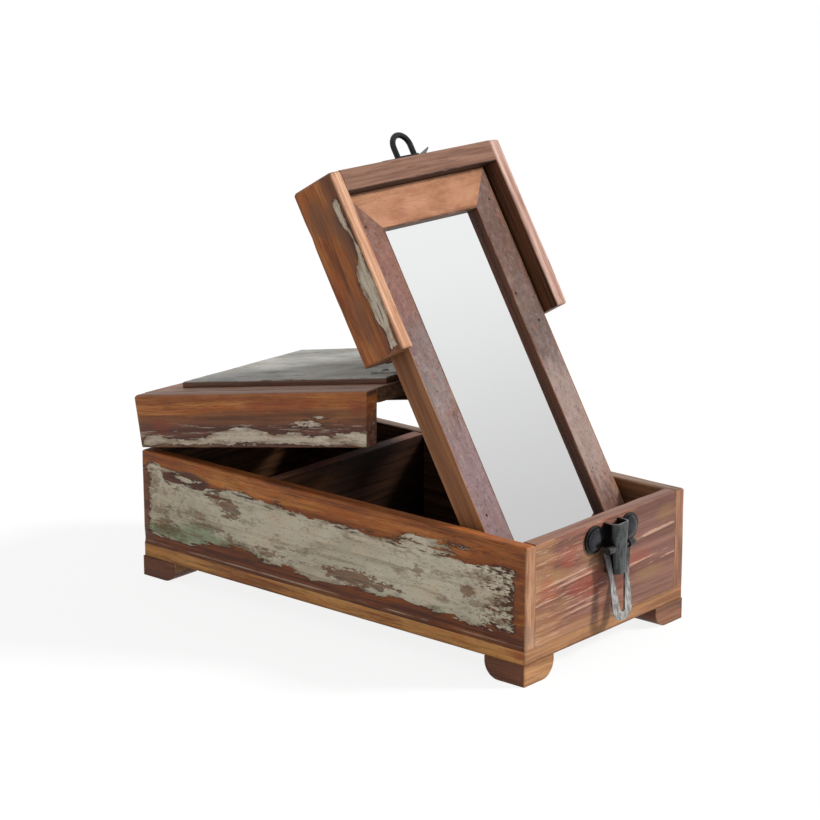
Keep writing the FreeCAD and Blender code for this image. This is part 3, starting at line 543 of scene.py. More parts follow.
def finish_base_side_left():
    """Near side: bare orange rim, a broad field of flaking paint, red-brown wood below it."""
    board = Board("base_side_left", "orange", seed=0.31)
    outside = (0, -1)
    run, up = board.depth(1, 1), board.depth(2, -1)
    board.stain(board.along(up, 18, 6), board.streaked((96, 50, 34), (158, 94, 56), (9, 420, 420)), 0.7)
    board.flecks(board.along(up, 16, 10), (74, 40, 28), 0.8)
    streaks = board.product(board.patchy((9, 240, 240), 0.5, 0.6, 4.0, 0.62), board.along(up, 17, 10))
    board.cover(streaks, (80, 42, 32), 0.75)
    board.shade(board.frayed(up, (12, 90, 90), 10, 66, 71), (0.6, 0.54, 0.46, 1), 0.45)
    board.shade(board.frayed(up, (12, 90, 90), 8, 61, 56), (0.55, 0.45, 0.4, 1), 0.6)
    scab = board.spot(run, up, (46, 57, 25, 6.5))
    board.cover(scab, board.streaked((56, 30, 26), (108, 68, 56), (20, 300, 300)), 0.9)
    board.cover(board.spot(run, up, (6, 30, 9, 30)), board.streaked((92, 54, 44), (140, 98, 78)), 0.75)
    top = [(7, 66), (18, 65), (26, 54), (58, 51.5), (70, 56), (82, 58), (110, 57.5), (130, 55.5),
           (180, 54.5), (238, 55.5), (258, 59.5), (297, 58.5), (304, 52.5), (330, 54), (350, 54)]
    low = [(0, 14), (20, 9.6), (45, 9.4), (78, 15), (105, 15.5), (120, 13), (150, 12), (180, 10),
           (225, 11.5), (268, 13.5), (290, 12), (310, 10.5), (330, 10.5), (360, 11)]
    field = board.strip(run, up, 360, 72, top, low)
    for scrape in ((72, 50.5, 9, 0.8), (272, 56.4, 24, 0.6), (283, 53.6, 14, 0.6), (268, 59, 10, 0.4)):
        field = board.least(field, board.oval(run, up, scrape))
    for chip in ((306, 63.5, 11, 2.0), (26, 61, 9, 0.8), (46, 58.4, 12, 0.5)):
        field = board.most(field, board.product(board.oval(run, up, chip), -1))
    chips = board.sum(board.product(board.along(run, 296, 345), 0.62),
                      board.product(board.along(run, 40, 4), 0.34), 0.28)
    tint = board.sum(
        board.product(board.along(board.oval(run, up, (48, 17, 34, 8)), 8, -3), 0.34),
        board.product(board.along(board.oval(run, up, (160, 13, 150, 4)), 4, -2), 0.2),
    )
    board.paint(outside, field, SAGE, chips, tint)
    # Dark broken line along the upper edge of the paint: dirt, and painted shadow under its edge
    crest = board.sum(field, board.wander((26, 60, 60), 7), -2.2 * MM)
    ridge = board.along(board.math("ABSOLUTE", crest), 1.1, 0.2)
    upper = board.product(ridge, board.along(up, 44, 50), board.face(*outside))
    board.cover(board.product(upper, board.patchy((60, 160, 160), 0.46, 0.56, 4.0)),
                (62, 38, 28), 0.85, rise=-1.0)
    brown = board.streaked((66, 38, 25), (146, 96, 60), (60, 520, 520))
    for oval, share in (
        ((91, 45, 11, 7), 0.75), ((74, 50, 8, 2.4), 0.7), ((211, 18.5, 30, 5), 0.8),
        ((140, 19, 24, 1.6), 0.7), ((267, 36, 5, 4), 0.55), ((311, 32, 6, 5), 0.7),
        ((286, 40, 9, 2.6), 0.4), ((112, 38, 9, 3), 0.35), ((45, 32, 22, 3), 0.45),
        ((24, 18, 10, 5), 0.6), ((66, 25, 15, 2.6), 0.5), ((160, 26, 8, 2), 0.4),
        ((326, 43, 12, 2.6), 0.5), ((338, 30, 8, 5), 0.5), ((324, 24, 11, 2.6), 0.5),
        ((336, 16, 12, 4), 0.6), ((12, 50, 7, 8), 0.4), ((90, 22, 3, 3), 0.6),
    ):
        board.smudge(outside, run, up, oval, brown, share)
    board.smudge(outside, run, up, (24, 14, 22, 5), (112, 108, 66), 0.55)
    spatter = board.patchy((210, 260, 260), 0.5, 0.64, 3.0, 0.6)
    ends = board.sum(board.along(run, 290, 338), board.product(board.along(run, 90, 20), 0.6))
    board.cover(board.product(spatter, ends, board.along(up, 8, 14), board.along(up, 58, 52),
                              board.face(*outside)), (92, 62, 46), 0.65)
    line = board.product(board.patchy((26, 200, 200), 0.44, 0.6, 4.0),
                         board.spot(run, up, (180, 2.8, 176, 0.5), 0.3, 0.6))
    board.cover(board.product(line, board.face(*outside)), SAGE["Grey"], 0.6)
    board.shade(board.frayed(up, (20, 90, 90), 4, 2.0, 0.3), (0.5, 0.42, 0.36, 1), 0.6)
    board.end_grain((152, 106, 78), (198, 152, 118))
    fouled = board.product(board.spot(board.depth(0, -1), up, (4, 12, 6, 7), 3, 14), board.face(1, -1))
    board.cover(fouled, (124, 106, 92), 0.4)
    board.inside(0, 1)
    board.rubbed((190, 134, 88), share=0.4)
    board.finish()


def finish_base_side_right():
    """Far side: as the near one, in darker tones that are painted shade against the sun on this side."""
    board = Board("base_side_right", "shaded_orange", seed=2.7)
    run, up = board.depth(1, -1), board.depth(2, -1)
    board.stain(board.along(up, 20, 6), board.streaked((84, 50, 38), (124, 78, 56)), 0.75)
    top = [(8, 50), (60, 58), (130, 56), (190, 60), (250, 54), (310, 58), (350, 48)]
    low = [(0, 22), (50, 14), (120, 18), (190, 10), (250, 15), (310, 12), (360, 20)]
    field = board.strip(run, up, 360, 72, top, low)
    for scrape in ((95, 33, 16, 2.4), (112, 36, 9, 1.2), (205, 41, 9, 1.4), (280, 22, 20, 2),
                   (262, 25, 7, 0.8)):
        field = board.least(field, board.oval(run, up, scrape))
    board.paint((0, 1), field, SHADED_SAGE, 0.38, 0.06)
    brown = board.streaked((84, 52, 34), (140, 96, 62), (30, 420, 420))
    for oval in ((60, 40, 24, 4), (150, 22, 34, 3), (240, 46, 20, 3), (322, 22, 26, 4),
                 (300, 40, 12, 2)):
        board.smudge((0, 1), run, up, oval, brown, 0.6)
    board.end_grain((122, 84, 66), (172, 124, 98))
    # Inside face lighter near the front end: painted light where the lamp reaches in
    board.inside(0, -1, board.frayed(run, (20, 40, 40), 40, 75, 20))
    board.side(2, 1, (104, 78, 64), (164, 142, 126))
    board.rubbed((196, 140, 92))
    board.finish()


SLANT = 0.045  # rise of the slivers along the front end


def finish_base_front_end():
    """Front end: red-brown wood with rust, and pale slivers torn out along a slant."""
    board = Board("base_front_end", "red", grain="x", seed=1.3, figure=0.3)
    run, up = board.depth(0, -1), board.depth(2, -1)
    board.stain(board.along(up, 16, 3), board.streaked((122, 76, 52), (170, 124, 92)), 0.8)
    board.stain(board.along(run, 40, 6), board.streaked((140, 96, 62), (190, 144, 102)), 0.6)
    board.stain(board.along(run, 96, 120), board.streaked((98, 64, 56), (138, 100, 88)), 0.7)
    board.spots(run, up, ((36, 54, 8, 7), (60, 30, 22, 9), (14, 36, 9, 10), (112, 34, 16, 5)),
                (156, 76, 58), 0.45, soft=3)
    board.spots(run, up, ((24, 44, 9, 5), (66, 50, 14, 6), (30, 22, 8, 6), (128, 20, 16, 5),
                          (148, 60, 12, 5)), (150, 118, 74), 0.4, soft=3)
    slant = board.less(up, board.product(run, SLANT))
    for middle, level, half, thick in (
        (38, 40.5, 26, 0.55), (43, 36.8, 26, 0.8), (45, 25.2, 19, 0.6),
        (44, 18.6, 19, 0.7), (50, 14.6, 12, 0.5), (131, 48.4, 21, 0.75),
        (120, 31, 13, 0.55), (140, 27, 12, 0.4), (20, 29, 10, 0.4),
    ):
        place = (middle, level - SLANT * middle, half, thick)
        board.cover(board.spot(run, slant, place, 0.5, 4.5), (206, 166, 142), 0.7, rise=1.0)
        under = (middle, level - SLANT * middle - 1.9 * thick - 0.4, half, thick * 0.8)
        board.cover(board.spot(run, slant, under, 0.5, 4.5), (84, 44, 36), 0.5, rise=-0.8)
    board.flecks(board.along(run, 150, 20), (208, 172, 146), 0.45)
    board.side(2, 1, (108, 76, 64), (154, 116, 100))
    board.inside(1, 1)
    seam = board.along(board.least(board.depth(0, -1), board.depth(0, 1)), 0.8, 0.1)
    board.shade(board.product(seam, board.patchy((60, 60, 60), 0.4, 0.62)), DARK_CAST, 0.4)
    board.rubbed((196, 156, 128), share=0.5)
    board.finish()


def finish_plain(node, wood, seed, grain="y", arris=(190, 142, 100), inside=(), ends=None):
    """Bare board with worn edges."""
    board = Board(node, wood, grain, seed)
    if ends:
        board.end_grain(*ends, stretch=(1, 240, 14))
    for face in inside:
        board.inside(*face)
    board.grime(3, 0.4)
    board.rubbed(arris, share=0.35)
    board.finish()


def finish_back_end(node, seed, height, lines, arris, **coat):
    """Back wall of the base or of the rear half, with a worn patch of paint."""
    board = Board(node, "brown", grain="x", seed=seed)
    field = board.strip(board.depth(0, 1), board.depth(2, -1), 160, height, *lines)
    # Paint in the darker copy of SAGE, painted shade for the back
    board.paint((1, 1), field, SHADED_SAGE, **coat)
    board.inside(1, -1)
    board.rubbed(arris)
    board.finish()


# End grain of the feet, lighter on the near side; the far side's darker tones are painted shade
FOOT_ENDS = {"left": ((146, 98, 62), (198, 148, 102)), "right": ((96, 64, 50), (152, 106, 80))}


def finish_base():
    finish_base_side_left()
    finish_base_side_right()
    finish_base_front_end()
    finish_back_end("base_back_end", 4.1, 72, (
        [(6, 56), (60, 60), (110, 52), (154, 60)], [(0, 26), (60, 14), (110, 20), (160, 10)],
    ), (180, 130, 90), chips=0.42, tint=0.08)
    board = Board("base_bottom", "golden", seed=5.3)
    board.inside(2, 1)
    for side in (-1, 1):
        board.side(1, side, (124, 80, 53), (180, 132, 92), 0.95, (1, 260, 9))
    # Painted shade: the far side of the bottom board darkened, as the sun falls full on it
    board.shade(board.face(0, 1), (0.6, 0.56, 0.54, 1), 0.85)
    board.shade(board.frayed(board.depth(2, -1), (20, 90, 90), 5, 2.5, 0.5), DARK_CAST, 0.5)
    board.finish()
    board = Board("base_partition", "red", grain="x", seed=6.1)
    # Front face of the partition: near-black wood as painted shade deep in the box, lighter towards the
    # near side as painted light
    near = board.frayed(board.depth(0, -1), (30, 60, 60), 50, 70, 5)
    board.inside(1, -1, board.product(near, 0.75), "black")
    board.inside(1, 1)
    board.finish()
    for number, (end, side) in enumerate(product(("front", "back"), ("left", "right"))):
        finish_plain(f"foot_{end}_{side}", "foot", seed=7.3 + number, arris=(180, 122, 82),
                     ends=FOOT_ENDS[side])


# Lid


def finish_lid_side(node, outer, seed):
    """Side of the rear half: bare above, a ragged strip of paint along the lower edge."""
    board = Board(node, "orange" if outer < 0 else "shaded_orange", seed=seed)
    run, up = board.depth(1, 1), board.depth(2, -1)
    board.stain(board.along(up, 31, 20), board.streaked((86, 56, 42), (136, 90, 62)), 0.7)
    aged = board.product(board.frayed(up, (10, 120, 120), 12, 29, 34), board.along(run, 210, 120))
    board.shade(aged, (0.68, 0.66, 0.72, 1), 0.7)
    worn = board.frayed(up, (10, 120, 120), 14, 20, 13)
    board.cover(worn, board.streaked((72, 40, 34), (128, 82, 66), (12, 260, 260)), 0.85)
    board.flecks(worn, (206, 188, 164), 0.75)
    board.spots(run, up, ((26, 17, 8, 6), (150, 30, 30, 4), (222, 27, 8, 5)),
                (150, 66, 48), 0.4, soft=2.5)
    top = [(5, 5), (12, 8.5), (22, 10), (25, 8), (30, 6.5), (70, 7.5), (80, 10.5), (96, 13), (112, 13.5),
           (130, 12), (150, 9.5), (180, 8.5), (205, 10), (229, 10)]
    low = [(0, 2.2), (60, 2.6), (120, 2.2), (180, 2), (233, 1.4)]
    field = board.strip(run, up, 233, 39.5, top, low)
    for chip in ((181, 16.6, 13, 1.3), (187, 21.6, 4, 1)):
        field = board.most(field, board.product(board.oval(run, up, chip), -1))
    board.paint((0, outer), field, CREAM if outer < 0 else SHADED_SAGE, 0.24, ragged=0.7)
    gritty = board.product(board.along(up, 16, 9), board.along(run, 66, 90))
    board.flecks(gritty, (64, 38, 30), 0.6)
    board.shade(board.along(up, 1.8, 0.8), OLIVE_CAST, 0.5)
    board.end_grain((48, 30, 22), (92, 62, 46))
    board.side(2, 1, (104, 74, 62), (160, 124, 106))
    board.inside(0, -outer)
    board.rubbed((190, 132, 88), share=0.4)
    board.finish()


def finish_panel(node, seed):
    """Planted panel: worn grey paint on top, bare brown wood on its sides, darkened as painted shade."""
    board = Board(node, "brown", seed=seed)
    # Sides: bare wood, darkened as painted shade under the panel's edge
    for axis, side in ((0, -1), (0, 1), (1, -1), (1, 1)):
        board.side(axis, side, (70, 45, 35), (122, 86, 68), 0.9)
    field = board.sum(board.edge(), 0.5 * MM)
    board.paint((2, 1), field, STONE, 0.4, 0.04, 0.7, outline=0.3, rough=0.76)
    dark = board.patchy((5, 120, 120), 0.52, 0.7, 5.0, 0.66)
    board.shade(dark, (0.62, 0.58, 0.54, 1), 0.36)
    stains = board.patchy((30, 50, 50), 0.54, 0.68, 5.0, 0.68)
    board.shade(stains, (0.68, 0.62, 0.54, 1), 0.3)
    flaked = board.product(board.along(board.edge(), 9, 2), board.face(2, 1))
    board.flecks(flaked, (228, 226, 216), 0.7)
    board.finish()


def finish_rear_lid():
    finish_lid_side("lid_side_left", -1, 0.9)
    finish_lid_side("lid_side_right", 1, 3.6)
    finish_panel("lid_raised_panel", 1.7)
    finish_back_end("lid_back_end", 8.2, 39.5, (
        [(6, 14), (60, 20), (110, 12), (154, 18)], [(0, 3), (60, 2), (110, 4), (160, 3)],
    ), (176, 116, 74), chips=0.38, ragged=0.7)
    finish_plain("lid_top_board", "ledge", seed=9.4, inside=((2, -1), (1, -1)))


# Hood and mirror


def finish_hood_side(node, outer, seed):
    """Side of the hood: bare, with a strip of paint along its rim."""
    board = Board(node, "orange" if outer < 0 else "shaded_orange", seed=seed)
    run, up = board.depth(1, -1), board.depth(2, -1)
    board.cover(board.frayed(up, (14, 120, 120), 22, 20, 9),
                board.streaked((74, 44, 34), (126, 82, 60)), 0.7)
    board.spots(run, up, ((24, 26, 14, 8), (36, 12, 14, 6), (100, 24, 22, 5)),
                (104, 80, 64), 0.5, soft=4)
    top = [(18, 5), (24, 8), (34, 8.5), (44, 5), (50, 3.4), (58, 3.6), (68, 11), (78, 13), (90, 12),
           (104, 10.5), (116, 8), (126, 10)]
    low = [(0, 2), (44, 2.2), (52, 2.2), (62, 2), (129.5, 2)]
    field = board.strip(run, up, 129.5, 39.5, top, low)
    board.paint((0, outer), field, CREAM if outer < 0 else SHADED_SAGE, 0.26, ragged=0.7)
    board.flecks(board.product(board.along(up, 15, 11), board.face(0, outer)), (104, 72, 52), 0.7)
    board.end_grain((120, 78, 54), (160, 112, 80))
    board.side(0, -outer, (62, 37, 24), (124, 78, 52), 0.95)
    rim = ((180, 128, 98), (222, 178, 146)) if outer < 0 else ((166, 126, 112), (214, 180, 166))
    board.side(2, -1, *rim, 0.95, (14, 380, 380))
    board.flecks(board.face(2, -1), (112, 72, 52), 0.5)
    board.grime(2.5, 0.4)
    board.rubbed((206, 156, 120), share=0.4)
    board.finish()


def finish_hood():
    finish_hood_side("hood_side_left", -1, 1.1)
    finish_hood_side("hood_side_right", 1, 4.6)
    finish_panel("hood_raised_panel", 5.2)
    board = Board("hood_end", "red", grain="x", seed=2.2)
    board.side(2, -1, (108, 76, 62), (142, 106, 88), 0.95, (14, 420, 420))
    board.flecks(board.face(2, -1), (70, 44, 36), 0.5)
    # Inner face dark and a dark line along it: painted shade beneath the rim
    board.side(1, 1, (46, 29, 22), (84, 55, 42), 0.95)
    board.shade(board.along(board.depth(1, 1), 1.4, 0.3), DARK_CAST, 0.6)
    board.rubbed((176, 140, 120), share=0.4)
    board.finish()
    finish_plain("hood_top_board", "ledge", seed=2.9)


# Stained places on the stiles: middle and half sizes along and across, then colour
STILE_STAINS = {
    -1: ((30, 12, 40, 26, (130, 88, 70)), (64, 12, 30, 26, (142, 100, 88)),
         (130, 12, 30, 24, (136, 126, 124)), (215, 12, 50, 26, (140, 118, 122)),
         (90, 4, 30, 8, (118, 84, 84))),
    1: ((60, 12, 34, 20, (104, 82, 74)), (130, 14, 40, 20, (100, 88, 84)),
        (195, 12, 46, 26, (170, 150, 142)), (95, 8, 14, 8, (112, 94, 88))),
}


def finish_mirror():
    board = Board("frame_rail_top", "tan", grain="x", seed=0.7, figure=1.8)
    blotches = board.streaked((150, 98, 72), (190, 140, 108), (26, 60, 60))
    board.cover(board.patchy((14, 60, 60), 0.34, 0.5, 4.0, 0.6), blotches, 0.75)
    board.side(1, 1, (58, 34, 24), (96, 60, 42))
    board.grime(2.5, 0.45)
    board.rubbed((206, 160, 126), share=0.4)
    board.finish()
    finish_plain("frame_rail_bottom", "mauve", grain="x", seed=1.9)
    for node, seed, outer in (("frame_stile_left", 3.1, -1), ("frame_stile_right", 4.4, 1)):
        board = Board(node, "mauve", seed=seed, figure=0.8)
        run, across = board.depth(1, -1), board.depth(0, -1)
        for *oval, colour in STILE_STAINS[outer]:
            board.cover(board.spot(run, across, oval, 8, 40), colour, 0.65)
        mottle = board.patchy((60, 90, 90), 0.42, 0.62, 6.0, 0.72)
        board.shade(mottle, (0.7, 0.64, 0.6, 1), 0.5)
        speckle = board.patchy((330, 330, 330), 0.5, 0.64, 5.0, 0.75)
        board.shade(speckle, (0.66, 0.6, 0.58, 1), 0.6)
        bloom = board.patchy((200, 260, 260), 0.48, 0.7, 6.0, 0.78)
        board.cover(bloom, (180, 160, 152), 0.3)
        rust = board.patchy((40, 110, 110), 0.54, 0.66, 4.0, 0.68)
        board.cover(rust, (146, 96, 74), 0.4)
        specks = board.patchy((360, 500, 500), 0.6, 0.68, 3.0, 0.6)
        board.cover(specks, (66, 46, 42), 0.6)
        board.side(0, outer, (118, 72, 44), (168, 112, 68), 0.95)
        board.side(0, -outer, (60, 31, 18), (108, 62, 38), 0.95)
        board.rubbed((180, 146, 128), 1.0, 0.4)
        board.finish()
    finish_plain("mirror_backboard", "brown", seed=6.6)


# Metal and glass


def plain_material(name, nodes):
    """New material on some nodes; gives its tree and itself."""
    material = new_material(name)
    for node in nodes:
        frame["nodes"][node].material_slots[0].material = material
    return Tree(material.node_tree), material


def finish_metal(name, nodes, dark, light, rough, metallic, worn=None):
    """Old iron: mottled tone and a pitted surface; worn gives a mask and two tones, of rubbed iron and
    of painted sheen.
    """
    tree, material = plain_material(name, nodes)
    place = tree.node("TexCoord").outputs["Object"]
    mottle = tree.noise(place, (160, 160, 160), 5.0, 0.65)
    pits = tree.noise(place, (900, 900, 900), 3.0, 0.6)
    scratches = tree.noise(place, (1500, 300, 120), 3.0, 0.6)
    colour = tree.mix(tree.band(mottle, 0.35, 0.68), dark, light)
    if worn:
        mask, dull, bright = worn(tree, place)
        patches = tree.noise(place, (420, 420, 150), 4.0, 0.6)
        rubbed = tree.mix(tree.band(patches, 0.34, 0.64), dull, bright)
        colour = tree.mix(tree.product(mask, tree.band(scratches, 0.22, 0.52)), colour, rubbed)
    roughness = tree.sum(tree.product(pits, 0.3), rough)
    height = tree.sum(mottle, tree.product(pits, 0.5), tree.product(scratches, 0.3))
    bump = tree.node("Bump", {"Height": height, "Distance": 0.25 * MM, "Strength": 0.6})
    surface = tree.node("BsdfPrincipled", {
        "Base Color": colour, "Roughness": roughness, "Normal": bump.outputs[0], "Metallic": metallic,
    })
    tree.node("OutputMaterial", {"Surface": surface.outputs[0]})
    return material


def finish_glass():
    """Silvered glass, painted lighter at the top and darker towards the tail as a painted reflection,
    broken by a little dust.
    """
    tree, _ = plain_material("mirror_silver", ["mirror_glass"])
    place = tree.node("TexCoord").outputs["Object"]
    height = tree.node("SeparateXYZ", {"Vector": place}).outputs["Z"]
    dust = tree.noise(place, (30, 30, 30), 4.0, 0.6)
    # Painted reflection: colour darker towards the tail, lighter towards the top, with dust noise
    level = tree.sum(tree.product(height, 4.2), tree.product(dust, 0.04))
    colour = tree.mix(tree.band(level, 0.2, 1.25), (196, 196, 196), (238, 239, 239))
    surface = tree.node("BsdfPrincipled", {
        "Base Color": colour, "Roughness": tree.sum(tree.product(dust, 0.03), 0.01), "Metallic": 1.0,
    })
    tree.node("OutputMaterial", {"Surface": surface.outputs[0]})


def strap_tip_wear_and_sheen(tree, place):
    """Bright iron towards the tip of the strap: rubbed wear, and a painted highlight on the lower strap.
    """
    height = tree.node("SeparateXYZ", {"Vector": place}).outputs["Z"]
    return tree.product(tree.along(height, 68, 48), 0.95), (122, 117, 114), (190, 188, 185)


def painted_sheen_on_horn(tree, place):
    """Painted sheen: iron painted brighter on the front of the horn than on its flanks and lobes,
    standing in for reflected light.
    """
    front = tree.node("SeparateXYZ", {"Vector": place}).outputs["Y"]
    return tree.product(tree.along(front, -187, -190.4), 0.9), (44, 46, 46), (84, 90, 89)


def finish_metals():
    """Old iron on the hasp and staple, dull steel on the hinges; gives the finishes of the fasteners."""
    finish_metal("blackened_iron", ["staple", "staple_plate"], (14, 14, 15), (38, 38, 40), 0.26, 0.5)
    finish_metal("horn_iron", ["hasp_bridge"], (16, 15, 15), (36, 34, 35), 0.14, 0.5, painted_sheen_on_horn)
    finish_metal("strap_iron", ["hasp_pin", "hasp_strap"], (34, 32, 32), (80, 78, 77), 0.2, 0.55,
                 strap_tip_wear_and_sheen)
    painted = [node for node in frame["nodes"] if node.startswith("mid_hinge_leaf_lid")]
    hinges = [node for node in frame["nodes"] if "hinge" in node and node not in painted]
    steel = finish_metal("hinge_steel", hinges, (86, 76, 66), (132, 122, 108), 0.4, 0.8)
    coated = finish_metal("painted_steel", painted, (126, 124, 118), (178, 176, 170), 0.5, 0.0)
    clout = finish_metal("clout_iron", [], (16, 15, 18), (52, 51, 57), 0.08, 0.6)
    nail = finish_metal("nail_iron", [], (40, 32, 28), (80, 68, 60), 0.4, 0.5)
    return {"screw": steel, "painted": coated, "clout": clout, "nail": nail}


# Worn boards: each takes the place of a square one, its edges rubbed round and nicked


def ticks(low, high):
    """Places of the grid along one axis, close together near both ends."""
    near = [step * MM for step in EDGE_STEPS if step * MM < (high - low) / 2 - 0.3 * MM]
    start, end = low + near[-1], high - near[-1]
    steps = max(1, round((end - start) / GRID_STEP))
    middle = [start + (end - start) * step / steps for step in range(1, steps)]
    return [low + gap for gap in near] + middle + [high - gap for gap in reversed(near)]


def face_of(sign):
    """Axis and side of a face written as -x or +z."""
    return "xyz".index(sign[1]), 1 if sign[0] == "+" else -1


def rubbed_place(point, low, high, dented, rounds, seed):
    """Where a point of a square board's surface lies after wear, never further out."""
    worn = point.copy()
    drift = Vector((seed, seed * 0.7, seed * 1.3))
    for axis, side in (face_of(sign) for sign in dented):
        if abs(point[axis] - (high if side > 0 else low)[axis]) < 1e-7:
            dent = 0.5 + 0.5 * noise.noise(point * 34 + drift)
            worn[axis] -= side * DENT * dent * dent
    for edge, radius in rounds.items():
        sides = (face_of(edge[:2]), face_of(edge[2:]))
        nick = max(0.0, noise.noise(point * 70 + drift * 2) - 0.3)
        reach = radius * MM * (1 + 0.45 * noise.noise(point * 22 + drift) + 1.6 * nick)
        depths = [high[axis] - point[axis] if side > 0 else point[axis] - low[axis]
                  for axis, side in sides]
        if max(depths) < reach:
            over = math.hypot(reach - depths[0], reach - depths[1])
            if over > reach:
                for (axis, side), depth in zip(sides, depths):
                    worn[axis] -= side * (reach - depth) * (1 - reach / over)
    return worn


def add_piece(name, grid, body, material):
    """Put a mesh drawn in the shut box onto its body, in the rest pose."""
    for face in grid.faces:
        face.smooth = True
    for edge in grid.edges:
        edge.smooth = edge.calc_face_angle(0.0) < SHARP
    mesh = bpy.data.meshes.new(name)
    grid.to_mesh(mesh)
    grid.free()
    mesh.transform(SHUT[body].inverted())
    mesh.materials.append(material)
    piece = bpy.data.objects.new(name, mesh)
    bpy.context.scene.collection.objects.link(piece)
    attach(piece, body)
    return piece


def wear_board(node, dented, rounds, seed, rake=0.0):
    """Worn board in place of a node: dented faces, rounded edges, front end raked back."""
    low, high = shut_box(node)
    places = [ticks(low[axis], high[axis]) for axis in range(3)]
    grid = bmesh.new()
    found = {}

    def corner(key):
        if key not in found:
            point = Vector([places[axis][key[axis]] for axis in range(3)])
            worn = rubbed_place(point, low, high, dented, rounds, seed)
            rise = (high.z - worn.z) / (high.z - low.z)
            worn.y += rake * MM * rise * (high.y - worn.y) / (high.y - low.y)
            found[key] = grid.verts.new(worn)
        return found[key]

    for axis in range(3):
        first, second = (axis + 1) % 3, (axis + 2) % 3
        for end in (0, len(places[axis]) - 1):
            for i in range(len(places[first]) - 1):
                for j in range(len(places[second]) - 1):
                    keys = []
                    for right, up in ((0, 0), (1, 0), (1, 1), (0, 1)):
                        key = [end, end, end]
                        key[first], key[second] = i + right, j + up
                        keys.append(tuple(key))
                    grid.faces.new([corner(key) for key in (keys if end else reversed(keys))])
    material = frame["nodes"][node].material_slots[0].material
    piece = add_piece(f"worn_{node}", grid, body_of(node),
                      material)
    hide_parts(node)


def wear_boards():
    for side, out, inner, seed in (("left", "-x", "+x", 1.7), ("right", "+x", "-x", 5.9)):
        wear_board(f"base_side_{side}", (out, "+z"),
                   {f"{out}+z": 2.4, f"{inner}+z": 1.8, f"{out}-y": 2.0, f"{out}+y": 2.8, "-y+z": 1.6,
                    "+y+z": 2.0}, seed)
        wear_board(f"lid_side_{side}", (out, "+z"),
                   {f"{out}+z": 2.8, f"{out}-z": 1.8, f"{out}+y": 3.2, "+y+z": 4.2, "+y-z": 1.8,
                    f"{inner}-z": 1.2}, seed + 1, LID_RAKE)
        wear_board(f"hood_side_{side}", (out, "-z"),
                   {f"{out}+z": 2.4, f"{out}-z": 1.4, f"{inner}-z": 0.9, f"{out}-y": 2.6, "-y+z": 2.6,
                    "-y-z": 2.2, "+y-z": 1.4, f"{out}+y": 1.4}, seed + 2)
    wear_board("base_front_end", ("-y", "+z"), {"-y+z": 2.2, "+y+z": 1.8}, 3.1)
    wear_board("base_back_end", ("+y", "+z"), {"+y+z": 2.2, "-y+z": 1.4}, 4.3)
    wear_board("base_bottom", ("-x", "+x", "-y", "+y"),
               {"-x-z": 0.6, "+x-z": 0.6, "-y-z": 0.6, "+y-z": 0.6, "-x-y": 1.6, "-x+y": 2.2,
                "+x-y": 1.6, "+x+y": 2.2}, 6.7)
    wear_board("lid_back_end", ("+y", "+z"), {"+y+z": 4.2, "+y-z": 1.8}, 7.9)
    wear_board("lid_raised_panel", ("+z", "-x", "+x"),
               {"-x+z": 1.8, "+x+z": 1.8, "+y+z": 1.8, "-x+y": 1.6, "+x+y": 1.6}, 8.8)
    wear_board("hood_raised_panel", ("+z", "-x", "+x"),
               {"-x+z": 1.8, "+x+z": 1.8, "-y+z": 1.8, "-x-y": 1.6, "+x-y": 1.6}, 9.6)


# Fasteners


def add_head(name, body, material, place, outward, radius, height, groove=0.0):
    """Nail or screw head, a little out of round, with a slot across it where groove is above 0."""
    grid = bmesh.new()
    count = 20
    rings = []
    for share, rise in ((1.0, -0.2), (1.0, 0.24), (0.9, 0.58), (0.68, 0.84), (0.38, 0.96)):
        ring = []
        for step in range(count):
            angle = 2 * math.pi * step / count
            uneven = 0.04 * (1 + math.sin(3 * angle + 400 * place[0] + 90 * place[1]))
            out = radius * share * (1 - uneven)
            ring.append(grid.verts.new((out * math.cos(angle), out * math.sin(angle), rise * height)))
        rings.append(ring)
    crown = grid.verts.new((0, 0, height))
    for lower, upper in zip(rings, rings[1:]):
        for step in range(count):
            after = (step + 1) % count
            grid.faces.new((lower[step], lower[after], upper[after], upper[step]))
    for step in range(count):
        grid.faces.new((rings[-1][step], rings[-1][(step + 1) % count], crown))
    grid.faces.new(list(reversed(rings[0])))
    if groove:
        for side in (-1, 1):
            parts = [*grid.verts, *grid.edges, *grid.faces]
            bmesh.ops.bisect_plane(grid, geom=parts, plane_co=(0, side * groove / 2, 0),
                                   plane_no=(0, 1, 0))
        for vertex in grid.verts:
            if abs(vertex.co.y) < groove * 0.45 and vertex.co.z > 0.3 * height:
                vertex.co.z = 0.3 * height
    turn = Vector(outward).to_track_quat("Z", "Y").to_matrix().to_4x4()
    bmesh.ops.transform(grid, matrix=Matrix.Translation(place) @ turn, verts=grid.verts)
    add_piece(name, grid, body, material)


